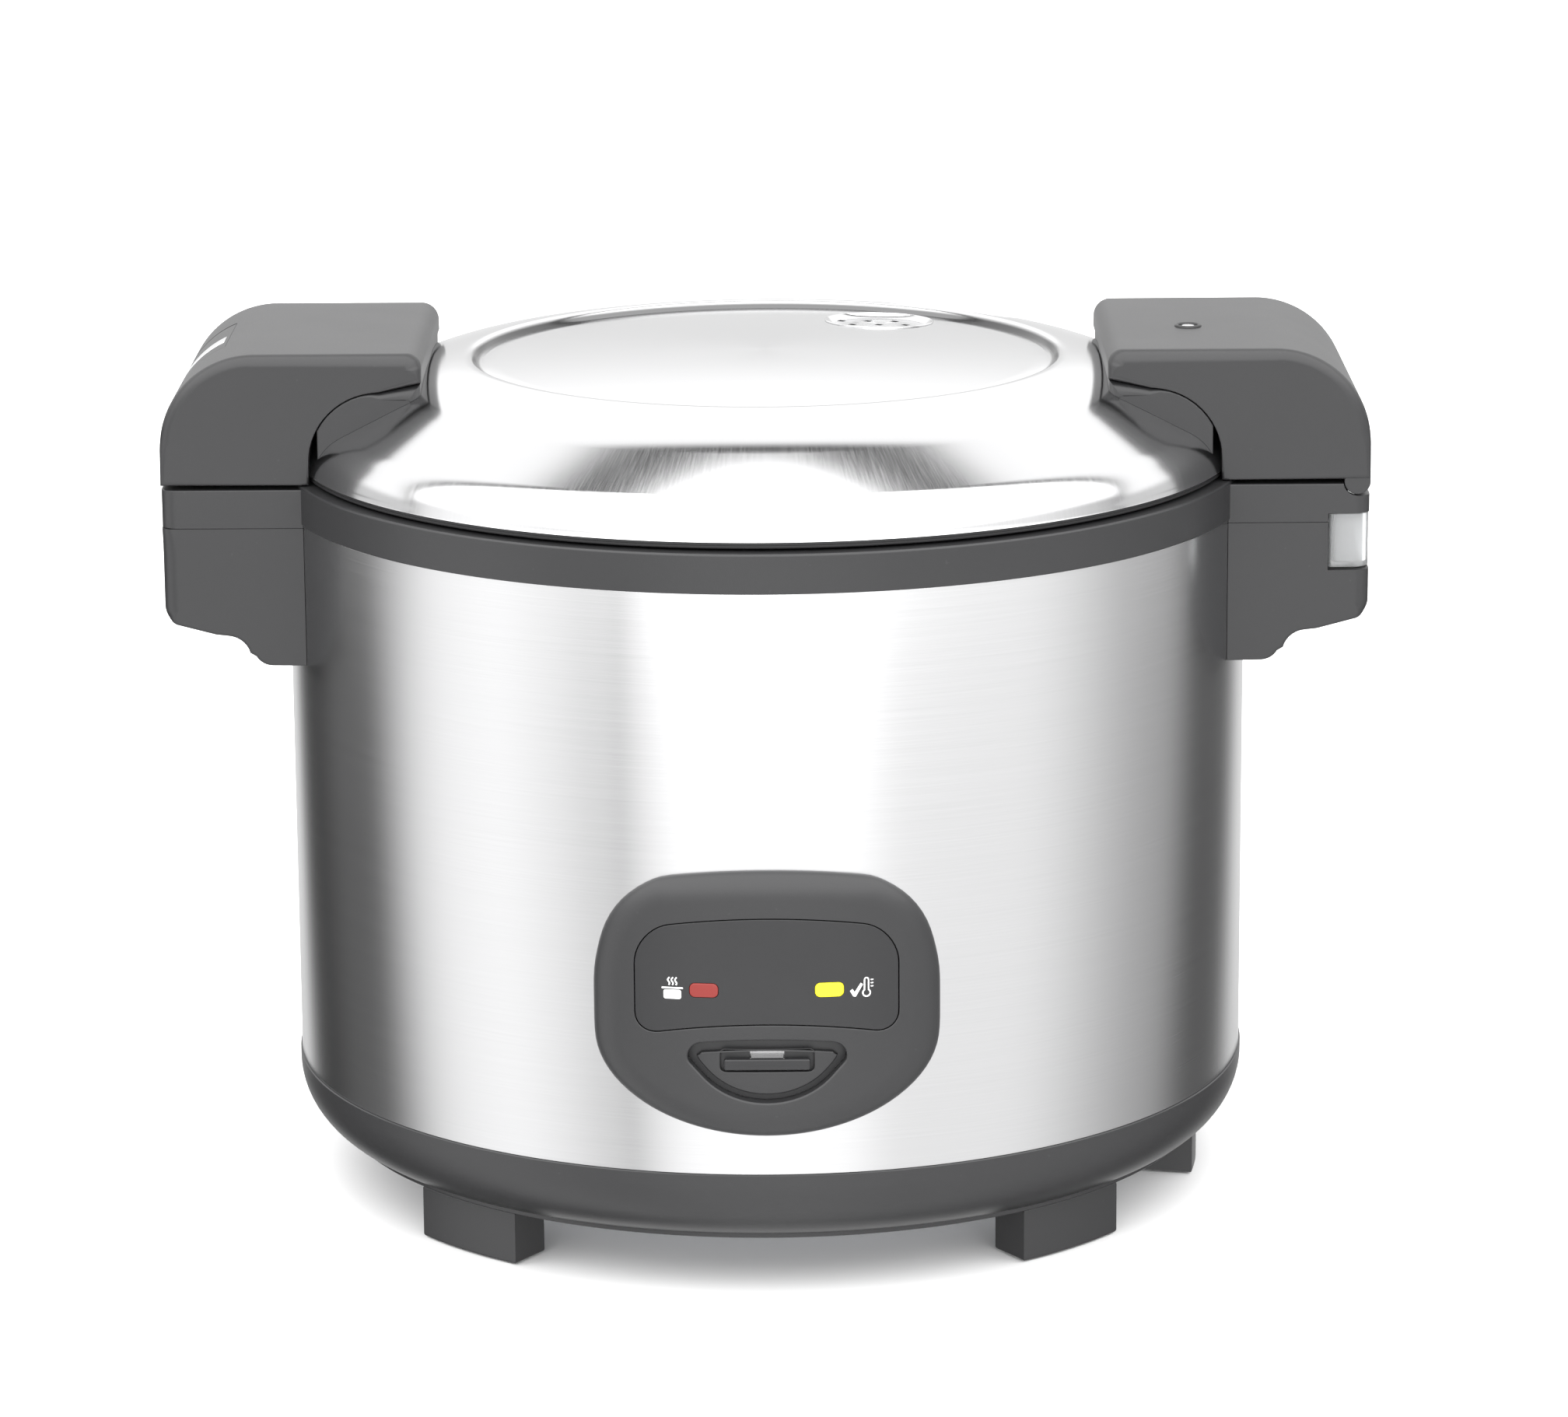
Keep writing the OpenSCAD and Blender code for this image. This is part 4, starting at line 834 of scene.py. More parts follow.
class CookerLatchHandle(bpy.types.Operator):
    """Latch-side upper handle with its release button and silver strip"""

    bl_idname = "cooker.latch_handle"
    bl_label = "Latch handle"

    def execute(self, context):
        s = sizes()
        button_low, button_high = cad("latch_button")
        half = 14.05
        block = upper_shell("latch_handle", -1)
        combine(block, crown_band("opening", s.button_r + 2, s.button_r - 12, half + 0.2, button_low.y - 0.25,
                                  button_high.y + 0.25, 1.2))
        web = [(REACH - 27, BLOCK_FOOT + 11), (REACH - 12, BLOCK_FOOT + 11), (REACH - 11, BLOCK_FOOT + 22),
               (REACH - 30, BLOCK_Z - 12)]
        webs = [slab("web", web, 0.4, y, y + 3, side=-1) for y in (-11, 8)]
        block = joined("latch_handle", [block, *webs])
        dress(even_shading(block), "body_plastic", "lid", "latch_block")
        button = crown_band("release_button", s.button_r - 0.05, s.button_r - 4.5, half, button_low.y + 0.05,
                            button_high.y - 0.05, 0.9)
        stem = turned("stem", [(0, 0), (1.5, 0), (1.5, 3), (3, 3.5), (3, 17), (0, 17)])
        centre = (-(REACH - s.button_r), 0, BLOCK_Z - s.button_r)
        turn = Vector((-1, 0, 1)).to_track_quat("Z", "Y").to_matrix()
        for v in stem.data.vertices:
            lifted = turn @ (v.co + Vector((0, 0, 13 * MM)))
            v.co = lifted + Vector(centre) * MM
        combine(button, stem, "UNION")
        slot_cut = crown_band("slot", s.button_r + 1, s.button_r - 0.55, 12.6, -12.1, 0.6, 0.1)
        combine(button, slot_cut)
        dress(even_shading(button), "body_plastic", "latch_button", "latch_button")
        strip = crown_band("silver_strip", s.button_r + 0.02, s.button_r - 0.5, 12.5, -12, 0.5, 0.15)
        dress(strip, "inlay_silver", "latch_button", "button_inlay")
        foot = handle_foot("latch_handle_foot", -1)
        dress(even_shading(foot), "body_plastic", "lid", "latch_foot")
        return {"FINISHED"}


class CookerHingeHandle(bpy.types.Operator):
    """Hinge-side upper handle with its knuckles, foot and ring plug"""

    bl_idname = "cooker.hinge_handle"
    bl_label = "Hinge handle"

    def execute(self, context):
        block = upper_shell("hinge_handle", 1)
        knuckle_r = 5.0
        # the outer lower corner follows the hinge's round
        corner = tidy([(PIN_X, BLOCK_FOOT - 1), (REACH + 1, BLOCK_FOOT - 1), (REACH + 1, PIN_Z)]
                      + arc(PIN_X, PIN_Z, knuckle_r, 0, -60, 6))
        combine(block, slab("corner", corner, 0.05, -HALF_W - 1, HALF_W + 1, steps=1))
        for y in (-38.4, 13.6):
            combine(block, slab("knuckle room", arc(PIN_X, PIN_Z, knuckle_r + 0.7, 0, 348, 29), 0.05,
                                y, y + 24.8, steps=1))
        knuckles = [slab("knuckle", arc(PIN_X, PIN_Z, knuckle_r - 0.02, 0, 350, 35), 0.4, y0, y1, steps=2)
                    for y0, y1 in ((-HALF_W + 0.6, -38.4), (-13.6, 13.6), (38.4, HALF_W - 0.6))]
        block = joined("hinge_handle", [block, *knuckles])
        dress(even_shading(block), "body_plastic", "lid", "hinge_block")
        foot = handle_foot("hinge_handle_foot", 1)
        dress(even_shading(foot), "body_plastic", "lid", "hinge_foot")
        x, y = (PLUG_LOW.x + PLUG_HIGH.x) / 2, (PLUG_LOW.y + PLUG_HIGH.y) / 2
        top = BLOCK_Z
        ring = [(0, top + 0.02), (2.9, top + 0.02), (3.2, top - 0.25), (3.6, top - 0.25)]
        ring += arc(4.4, top + 0.05, 0.75, 190, 0, 8) + [(5.0, top - 0.9), (0, top - 0.9)]
        plug = turned("ring_plug", ring, (x, y))
        dress(plug, "dark_plastic", "lid", "plug_ring")
        dome = [(0, top + 0.35)] + arc(2.1, top + 0.05, 0.3, 90, 0, 4) + [(2.4, top - 0.2), (0, top - 0.2)]
        cap = turned("plug_cap", dome, (x, y))
        dress(cap, "inlay_silver", "lid")
        return {"FINISHED"}


def cover_outline():
    """Lower handle cover seen from the front: finger slope and swept foot."""
    return tidy([(BODY_R - 12, SEAM_Z), (BODY_R - 12, COVER_Z)] + arc(BODY_R + 3, COVER_Z + 7, 7, -90, -30, 6)
                + arc(BODY_R + 20, COVER_Z + 2.5, 9, 165, 95, 7) + [(BODY_R + 24, COVER_Z + 12.0)]
                + arc(REACH - 7, COVER_Z + 22.5, 7, -72, 0, 8) + [(REACH, SEAM_Z)])


def cover_edge(x, z):
    s = sizes()
    if x > REACH - 2.5 and z > COVER_Z + 16:
        return s.corner_round
    return 1.3 if z < SEAM_Z - 1 and x > BODY_R - 2 else 0.25


def body_core(low, high, r):
    return turned("core", [(0, low), (r, low), (r, high), (0, high)])


def lower_cover(name, side):
    made = slab(name, spread(cover_outline(), 6), cover_edge, -HALF_W, HALF_W, side=side, seam=SEAM_Z)
    combine(made, body_core(COVER_Z - 5, SEAM_Z + 5, BODY_R + 0.12))
    pocket = slab("pocket", rounded_box(BODY_R + 22, REACH - 3, -HALF_W + 3, HALF_W - 3, 4), 1.0,
                  COVER_Z - 6, SEAM_Z - 23, along="Z", side=side, steps=3)
    combine(made, pocket)
    void = slab("void", rounded_box(BODY_R + 5, BODY_R + 19, -HALF_W + 4, HALF_W - 4, 2), 0.2,
                COVER_Z + 16, SEAM_Z + 4, along="Z", side=side, steps=1)
    return combine(made, void)


class CookerCovers(bpy.types.Operator):
    """Lower handle covers and the clear cup in the right one"""

    bl_idname = "cooker.covers"
    bl_label = "Lower covers"

    def execute(self, context):
        dress(even_shading(lower_cover("left_cover", -1)), "body_plastic", "root", "left_handle")
        right = lower_cover("right_cover", 1)
        room = slab("cup room", rounded_box(CUP_LOW.x - 0.4, REACH + 8, -HALF_W - 4, HALF_W + 4, 1), 0.1,
                    CUP_LOW.z - 0.4, CUP_LOW.z + 30, along="Z", steps=1)
        combine(right, room)
        dress(even_shading(right), "body_plastic", "root", "right_handle")
        top = CUP_LOW.z + 21
        half = CUP_HIGH.y
        back, front_x = CUP_LOW.x, REACH - 6
        plan = tidy(arc(front_x, half - 6, 6, 0, 90, 8) + arc(back + 1.2, half - 1.2, 1.2, 90, 180, 4)
                    + arc(back + 1.2, -half + 1.2, 1.2, 180, 270, 4) + arc(front_x, -half + 6, 6, -90, 0, 8))
        cup = slab("clear_cup", plan, 0.7, CUP_LOW.z, top, along="Z", steps=3)
        room = tidy(arc(front_x, half - 6, 4.2, 0, 90, 8) + arc(back + 3.4, half - 3.4, 1.6, 90, 180, 4)
                    + arc(back + 3.4, -half + 3.4, 1.6, 180, 270, 4) + arc(front_x, -half + 6, 4.2, -90, 0, 8))
        hollow = slab("cup hollow", room, 0.6, CUP_LOW.z + 1.8, top + 5, along="Z", steps=3)
        combine(cup, hollow)
        grip = rounded_box(-24, 24, top - 2, CUP_HIGH.z, 1.5, 4)
        pull = slab("pull", grip, 0.5, REACH - 1.8, REACH, steps=2)
        for v in pull.data.vertices:
            v.co = Vector((v.co.y, v.co.x, v.co.z))
        pull.data.flip_normals()
        combine(cup, pull, "UNION")
        dress(cup, "cup_clear", "drip_cup", "drip_cup")
        return {"FINISHED"}


# ---------------------------------------------------------------- body


class CookerBody(bpy.types.Operator):
    """Steel shell, base moulding and the rim with its handle parts"""

    bl_idname = "cooker.body"
    bl_label = "Body"

    def execute(self, context):
        shell = run_tree("steel_shell", sheet_tree(), bpy.data.meshes.new("shell"), {
            "Radius": BODY_R * MM, "Height": (Z_RIM - Z_SHELL) * MM, "Wall": 0.8 * MM, "Floor": Z_SHELL * MM,
            "Steps": 256, "Material": bpy.data.materials[FINISHES["shell_steel"]]})
        shell.data.shade_smooth()
        shell.data.set_sharp_from_angle(angle=math.radians(40))
        dress(shell, "shell_steel", "root", "outer_shell")
        self.base()
        self.rim()
        return {"FINISHED"}

    def base(self):
        z0 = BASE_LOW.z
        round_r, lip_h = 26, 2.2
        low_r = TRIM_R - round_r * (1 - math.cos(math.radians(65)))
        lip_r = low_r - 1.2
        arc_z = z0 + lip_h + round_r * math.sin(math.radians(65))
        centre = TRIM_R - round_r
        section = [(lip_r - 32, z0), (lip_r - 0.5, z0)] + arc(lip_r - 0.5, z0 + 0.5, 0.5, -90, 0, 3)
        section += [(lip_r, z0 + lip_h - 0.2), (lip_r + 0.3, z0 + lip_h)]
        section += arc(centre, arc_z, round_r, -65, 0, 24)
        section += [(TRIM_R, Z_SHELL - 0.35), (TRIM_R - 0.35, Z_SHELL), (BODY_R - 1.1, Z_SHELL),
                    (BODY_R - 1.1, Z_SHELL + 8), (BODY_R - 3.6, Z_SHELL + 8), (BODY_R - 3.6, Z_SHELL - 2)]
        section += arc(centre, arc_z, round_r - 3, 0, -65, 12)
        section += [(lip_r - 3, z0 + 2.5), (lip_r - 32, z0 + 2.5)]
        dress(turned("base_moulding", section), "body_plastic", "root", "base_ring")

    def rim(self):
        s = sizes()
        inner = 162
        section = [(TRIM_R, Z_RIM + 0.3), (TRIM_R, Z_TOP - 0.9)]
        section += arc(TRIM_R - 0.9, Z_TOP - 0.9, 0.9, 0, 90, 4)
        section += [(FLANGE_R + 3.4, Z_TOP)] + [(FLANGE_R + 2.6, Z_TOP - 0.6), (FLANGE_R + 2, LEDGE_Z + 0.5)]
        section += [(FLANGE_R + 1.6, LEDGE_Z), (inner + 0.6, LEDGE_Z)]
        section += [(inner, LEDGE_Z - 0.6), (inner, LEDGE_Z - 3)]
        section += [(BODY_R - 3.6, LEDGE_Z - 3), (BODY_R - 3.6, Z_RIM - 8), (BODY_R - 1.1, Z_RIM - 8),
                    (BODY_R - 1.1, Z_RIM), (TRIM_R - 0.3, Z_RIM)]
        rim = turned("rim_moulding", section)

        corner = s.corner_round
        plan = tidy([(BODY_R - 16, -HALF_W)] + arc(REACH - corner, -HALF_W + corner, corner, -90, 0, 10)
                    + arc(REACH - corner, HALF_W - corner, corner, 0, 90, 10) + [(BODY_R - 16, HALF_W)])
        for side in (-1, 1):
            part = slab("rim part", plan, 0.4, SEAM_Z, BLOCK_TOP, along="Z", side=side, steps=3)
            combine(part, body_core(SEAM_Z - 5, BLOCK_TOP + 5, TRIM_R - 1.5))
            combine(part, body_core(SEAM_Z - 5, Z_RIM, BODY_R + 0.12))
            hollow = slab("rim hollow", rounded_box(BODY_R + 3, REACH - 3, -HALF_W + 3, HALF_W - 3, 4), 0.4,
                          SEAM_Z - 4, BLOCK_TOP - 2, along="Z", side=side, steps=2)
            combine(part, hollow)
            if side < 0:
                slot_x = REACH - 19.5
                combine(part, slab("hook slot", rounded_box(slot_x - 11, slot_x + 10, -9, 9, 1.5), 0.2,
                                   SEAM_Z - 5, BLOCK_TOP + 6, along="Z", side=-1, steps=1))
            else:
                room = arc(PIN_X, PIN_Z, 5.4, 100, 440, 34)
                combine(part, slab("knuckle room", room, 0.05, -HALF_W - 1, HALF_W + 1, steps=1))
                corner_room = [(PIN_X, PIN_Z - 5.5), (REACH + 2, PIN_Z - 5.5), (REACH + 2, BLOCK_TOP + 2),
                               (PIN_X, BLOCK_TOP + 2)]
                combine(part, slab("corner room", corner_room, 0.05, -HALF_W - 1, HALF_W + 1, steps=1))
                cup_room = rounded_box(CUP_LOW.x - 0.4, REACH + 8, -HALF_W - 4, HALF_W + 4, 1)
                combine(part, slab("cup room", cup_room, 0.1, SEAM_Z - 20, CUP_LOW.z + 21.4, along="Z",
                                   steps=1))
                pull_room = rounded_box(REACH - 2.2, REACH + 8, -24.4, 24.4, 0.8)
                combine(part, slab("pull room", pull_room, 0.05, SEAM_Z - 5, CUP_HIGH.z + 0.6, along="Z",
                                   steps=1))
            combine(rim, part, "UNION")
        knuckles = []
        for y in (-38, 14):
            outline = arc(PIN_X, PIN_Z, 5.0, -90, 180, 27) + [(PIN_X - 5, PIN_Z - 8), (PIN_X, PIN_Z - 8)]
            knuckles.append(slab("rim knuckle", outline, 0.4, y, y + 24, steps=2))
        rim = joined("rim_moulding", [rim, *knuckles])
        dress(even_shading(rim), "body_plastic", "root", "body_rim")


class CookerFeet(bpy.types.Operator):
    """Block feet with their rubber pads, and the screws of the base"""

    bl_idname = "cooker.feet"
    bl_label = "Feet"

    def execute(self, context):
        out_r = 167.8
        lip = BASE_LOW.z
        turns = [-133, -47, 47, 133, -3]
        half = 8.5
        outline = tidy(arc(0, 0, out_r, -half, half, 12) + arc(0, 0, out_r - 18, half, -half, 10))
        foot = slab("foot", outline, 1.1, 0.5, lip + 0.3, along="Z", steps=3)
        for turn in (-half * 0.6, half * 0.6):
            a = math.radians(turn)
            spot = ((out_r - 9) * math.cos(a), (out_r - 9) * math.sin(a))
            combine(foot, turned("pad seat", [(0, 0), (5.15, 0), (5.15, 5), (0, 5)], spot))
        feet = repeated("block_feet", even_shading(foot), [(0, 0, 0, t) for t in turns], "dark_plastic")
        dress(feet, "dark_plastic", "root", "feet", finish="body_plastic")
        cushion = [(0, 0.5), (3.0, 0.5), (3.4, 0)] + arc(4.3, 0.7, 0.7, -90, 0, 4) + [(5.0, 4.9), (0, 4.9)]
        pad = turned("pad", cushion)
        places = []
        for t in turns:
            for k in (-1, 1):
                a = math.radians(t + k * half * 0.6)
                places.append(((out_r - 9) * math.cos(a), (out_r - 9) * math.sin(a), 0, t))
        pads = repeated("rubber_pads", pad, places, "rubber_black")
        dress(pads, "rubber_black", "root", "foot_pads")
        high = cad("base_screws")[1]
        bolt_r = high.x / math.cos(math.radians(45)) - 3.5 / math.cos(math.radians(45))
        screws = repeated("base_screw_heads", cross_screw(3.3, 7, 2, 8), [
            (bolt_r * math.cos(math.radians(a)), bolt_r * math.sin(math.radians(a)), BASE_LOW.z, a)
            for a in (45, 135, 225, 315)], "plated_steel")
        dress(screws, "plated_steel", "root", "base_screws")
        return {"FINISHED"}


def cross_screw(d, head_d, head_h, length):
    """Pan-head screw, head down, with a cross recess."""
    head = [(0, -head_h)] + arc(head_d / 2 - 1, -head_h + 1, 1, -90, 0, 4) + [(head_d / 2, 0), (d / 2, 0),
                                                                             (d / 2, length), (0, length)]
    made = turned("screw", head)
    for plan in (rounded_box(-2, 2, -0.4, 0.4, 0.2, 2), rounded_box(-0.4, 0.4, -2, 2, 0.2, 2)):
        combine(made, slab("recess", plan, 0.05, -head_h - 1, -head_h + 1.1, along="Z", steps=1))
    return made


# ---------------------------------------------------------------- control panel


def panel_outline():
    """Arched top, broad shoulders and a deep rounded chin."""
    w, t = (BEZEL_HIGH.x - BEZEL_LOW.x) / 2, (BEZEL_HIGH.z - BEZEL_LOW.z) / 2
    shoulder = w - 24
    top = [(shoulder * k / 5, t - 3.1 * (k / 5) ** 2) for k in range(5, -6, -1)]
    right = arc(w - 35.5, t - 35.5, 34, 12, 68, 9)
    left = [(-x, z) for x, z in right[::-1]]
    turns = [math.radians(a) for a in range(180, -1, -9)]
    chin = [(w * math.cos(a), -12.5 - (t - 12.5) * math.sin(a)) for a in turns]
    points = spread(tidy(right + top + left + [(-w, 11)] + chin + [(w, 11)]), 4)
    for _ in range(2):
        nexts = points[1:] + points[:1]
        points = [tuple((a + 2 * b + c) / 4 for a, b, c in zip(points[i - 1], p, nexts[i]))
                  for i, p in enumerate(points)]
    return points


def spread(points, longest):
    """Adds points so that no side of the outline is longer than a length."""
    made = []
    for a, b in zip(points, points[1:] + points[:1]):
        count = max(1, math.ceil(math.dist(a, b) / longest))
        made += [(a[0] + (b[0] - a[0]) * i / count, a[1] + (b[1] - a[1]) * i / count) for i in range(count)]
    return made


def bowed(points, rise, half):
    """Bends an outline up in the middle."""
    return [(x, z + rise * (1 - (x / half) ** 2)) for x, z in points]


def window_outline():
    half = (WINDOW_HIGH.x - WINDOW_LOW.x) / 2 + 0.4
    top = (WINDOW_HIGH.z - WINDOW_LOW.z) / 2 + 1.2
    bow = 5.0
    points = tidy(arc(half - 13, top - 13 - bow, 13, 0, 90, 10)
                  + arc(-half + 13, top - 13 - bow, 13, 90, 180, 10)
                  + arc(-half + 9, -top + 9, 9, 180, 270, 8) + arc(half - 9, -top + 9, 9, 270, 360, 8))
    return bowed(spread(points, 3), bow, half)


def smile_outline():
    """Recess with a nearly flat top and a deep bowed bottom; its top is at zero."""
    w, h, corner = 28.75, 24.5, 4.6
    r = (w * w + h * h) / (2 * h) * 1.04
    top = arc(w - corner, -corner - 0.8, corner, -28, 86, 8)
    top += arc(-w + corner, -corner - 0.8, corner, 94, 208, 8)
    bottom = arc(0, -h + r, r, 270 - 51, 270 + 51, 22)
    return bowed(spread(tidy(top + bottom), 2), 1.8, w)


def lens_outline(cx, half_w, half_h, corner):
    return [(cx + x, z) for x, z in rounded_box(-half_w, half_w, -half_h, half_h, corner, 6)]


LENS_X = 22.7
LENS_SIZE = (5.2, 2.65, 2.0)


class CookerPanel(bpy.types.Operator):
    """Control panel: bezel, window, lenses, printed symbols, switch plate and lever bar"""

    bl_idname = "cooker.panel"
    bl_label = "Control panel"

    def execute(self, context):
        s = sizes()
        lens_z = (LENS_LOW.z + LENS_HIGH.z) / 2
        win_z = (WINDOW_LOW.z + WINDOW_HIGH.z) / 2 - 0.9
        smile_z = PANEL_Z - 15.0
        face_z = PANEL_Z - 1.7
        window = window_outline()
        smile = smile_outline()
        in_panel = [(x, z + win_z - face_z) for x, z in window]
        smile_in_panel = [(x, z + smile_z - face_z) for x, z in smile]
        outline = panel_outline()
        rings = [(outline, BODY_R + 0.05), (outline, BODY_R + 0.7)]
        for k in range(1, 13):
            t = math.radians(90 * k / 12)
            rings.append((inset(outline, s.panel_slope * (1 - math.cos(t))),
                          BODY_R + 0.7 + (FACE_R - BODY_R - 0.7) * math.sin(t)))
        holes = [hole_rings(in_panel, BODY_R + 0.05, FACE_R, 0.35),
                 hole_rings(smile_in_panel, BODY_R + 0.05, FACE_R, 0.9)]
        bezel = plate("panel_bezel_moulding", rings, holes, front(face_z), 5)
        dress(even_shading(bezel), "body_plastic", "root", "panel_bezel")
        self.window(window, win_z, lens_z)
        self.switch(smile, smile_z)
        return {"FINISHED"}

    def window(self, window, win_z, lens_z):
        lens_holes = []
        for side in (-1, 1):
            outline = lens_outline(side * LENS_X, LENS_SIZE[0] + 0.1, LENS_SIZE[1] + 0.1, LENS_SIZE[2])
            lens_holes.append([(x, z + lens_z - win_z) for x, z in outline])
        back = BODY_R + 1
        pane = plate("smoked_window", rounded_rings(inset(window, 0.3), back, FACE_R - 0.1, 0.35),
                     [hole_rings(h, back, FACE_R - 0.1, 0.15) for h in lens_holes], front(win_z), 4)
        dress(even_shading(pane), "window_gloss", "root", "panel_window")
        for side, node, slot_name in ((-1, "cook_lens", "lens_red"), (1, "warm_lens", "lens_yellow")):
            outline = lens_outline(side * LENS_X, *LENS_SIZE)
            rings = rounded_rings(outline, back, FACE_R + 0.15, 0.5)
            lens = plate(node.replace("lens", "lamp_lens"), rings, [], front(lens_z), 2)
            dress(even_shading(lens), slot_name, "root", node)
        self.symbols(lens_z)

    def symbols(self, lens_z):
        """A steaming pot beside the cook lamp; a tick and a thermometer beside the warm lamp."""
        shapes = []
        pot_x, pot_z = -LENS_X - 11.4, -1.0
        shapes.append(rounded_box(pot_x - 3.2, pot_x + 3.2, pot_z - 2.5, pot_z + 0.9, 0.8, 4))
        shapes.append(rounded_box(pot_x - 3.9, pot_x + 3.9, pot_z + 1.3, pot_z + 1.9, 0.28, 3))
        for k in (-1, 0, 1):
            path = [(pot_x + 1.3 * k + 0.35 * math.sin(t * 0.9), pot_z + 2.7 + 0.36 * t) for t in range(9)]
            shapes.append(stroke(path, 0.5))
        tick_x, tick_z = LENS_X + 9.8, -0.4
        shapes.append(tidy([
            (tick_x - 2.4, tick_z - 0.4), (tick_x - 1.5, tick_z + 0.3), (tick_x - 0.7, tick_z - 0.9),
            (tick_x + 1.5, tick_z + 2.5), (tick_x + 2.3, tick_z + 1.9), (tick_x - 0.3, tick_z - 2.6),
            (tick_x - 1.2, tick_z - 2.5)]))
        bulb_x, bulb_z = LENS_X + 13.4, -1.7
        outer = tidy(arc(bulb_x, bulb_z + 4.9, 0.95, 0, 180, 8) + arc(bulb_x, bulb_z, 1.6, 128, 412, 20))
        inner = tidy(arc(bulb_x, bulb_z + 4.9, 0.5, 0, 180, 6) + arc(bulb_x, bulb_z, 1.1, 118, 422, 16))
        low, high = FACE_R - 0.2, FACE_R - 0.04
        place = front(lens_z)
        marks = [plate("mark", [(spread(shape, 1.5), low), (spread(shape, 1.5), high)], [], place, 1.5)
                 for shape in shapes]
        bulb_hole = [(inner, high), (inner, low)]
        marks.append(plate("mark", [(outer, low), (outer, high)], [bulb_hole], place, 1.5))
        for k in range(3):
            step_z = bulb_z + 2.2 + 1.2 * k
            tick = rounded_box(bulb_x + 1.5, bulb_x + 2.5, step_z, step_z + 0.4, 0.15, 2)
            marks.append(plate("mark", [(tick, low), (tick, high)], [], place, 1.5))
        dress(joined("window_symbols", marks), "label_white", "root", finish="symbol_print")

    def switch(self, smile, smile_z):
        bar_z = PANEL_Z - 23
        slot_low, slot_high = bar_z - 3.7 - smile_z, bar_z + 4.5 - smile_z
        opening = spread(rounded_box(-17.0, 17.0, slot_low, slot_high, 1.8, 5), 4)
        neck_room = spread(rounded_box(-6.3, 6.3, slot_low + 1.8, slot_high, 0.8, 3), 4)
        inner = inset(smile, smoothed([4.2 if z > -7 else 2.4 for _, z in smile], 4))
        plate_front = FACE_R - 2.8
        shield = plate("switch_shield", rounded_rings(inner, FACE_R - 5.6, plate_front, 0.6),
                       [hole_rings(opening, FACE_R - 5.6, plate_front, 0.5)], front(smile_z), 4)
        floor = inset(smile, 0.2)
        groove = plate("switch_groove", [(floor, FACE_R - 5.9), (floor, FACE_R - 4.8)],
                       [[(neck_room, FACE_R - 4.8), (neck_room, FACE_R - 5.9)]], front(smile_z), 4)
        dress(even_shading(shield), "dark_plastic", "root", "switch_plate", finish="body_plastic")
        dress(groove, "dark_plastic", "root")
        self.lever(bar_z)

    def lever(self, bar_z):
        """Bar at the front, leg down the gap behind the shell, fork under the thermostat."""
        low = cad("cook_lever")[0]
        arm_z = low.z + 5
        leg_y = -BODY_R + 9.65
        bar = slab("bar", rounded_box(-15.75, 15.75, bar_z - 3.1, bar_z + 1.3, 0.9, 5), 0.8,
                   -(FACE_R - 2.2), -(FACE_R - 4.6), steps=4)
        neck = slab("neck", rounded_box(-6, 6, bar_z - 1.5, bar_z + 1.5, 0.4, 2), 0.2, -FACE_R + 3, leg_y + 2,
                    steps=1)
        leg = slab("leg", rounded_box(-6, 6, arm_z - 2.5, bar_z + 1.5, 0.6, 2), 0.3, leg_y, leg_y + 4,
                   steps=1)
        reach = slab("reach", rounded_box(-6, 6, arm_z - 2.5, arm_z + 2.5, 0.6, 2), 0.3, leg_y, -10, steps=1)
        fork = slab("fork", rounded_box(-14, 14, -16, 12, 2), 0.4, arm_z - 2.5, arm_z + 2.5, along="Z",
                    steps=2)
        combine(fork, slab("fork gap", rounded_box(-4.4, 4.4, -5.4, 20, 2), 0.05, arm_z - 9, arm_z + 9,
                           along="Z", steps=1))
        pivot_y = -118
        boss = slab("boss", rounded_box(pivot_y - 5, pivot_y + 5, arm_z - 5, arm_z + 5, 4.9, 8), 0.4, -9, 9,
                    steps=2)
        for v in boss.data.vertices:
            v.co = Vector((v.co.y, v.co.x, v.co.z))
        boss.data.flip_normals()
        lever = joined("switch_lever", [bar, neck, leg, reach, fork, boss])
        dress(even_shading(lever), "window_gloss", "cook_lever", "cook_lever", finish="lever_gloss")


def stroke(path, width):
    """Outline of a line of even width."""
    left, right = [], []
    for i, p in enumerate(path):
        a, b = Vector(path[max(i - 1, 0)]), Vector(path[min(i + 1, len(path) - 1)])
        d = (b - a).normalized()
        n = Vector((-d.y, d.x)) * width / 2
        left.append(tuple(Vector(p) + n))
        right.append(tuple(Vector(p) - n))
    return tidy(left + right[::-1])


# ---------------------------------------------------------------- power inlet


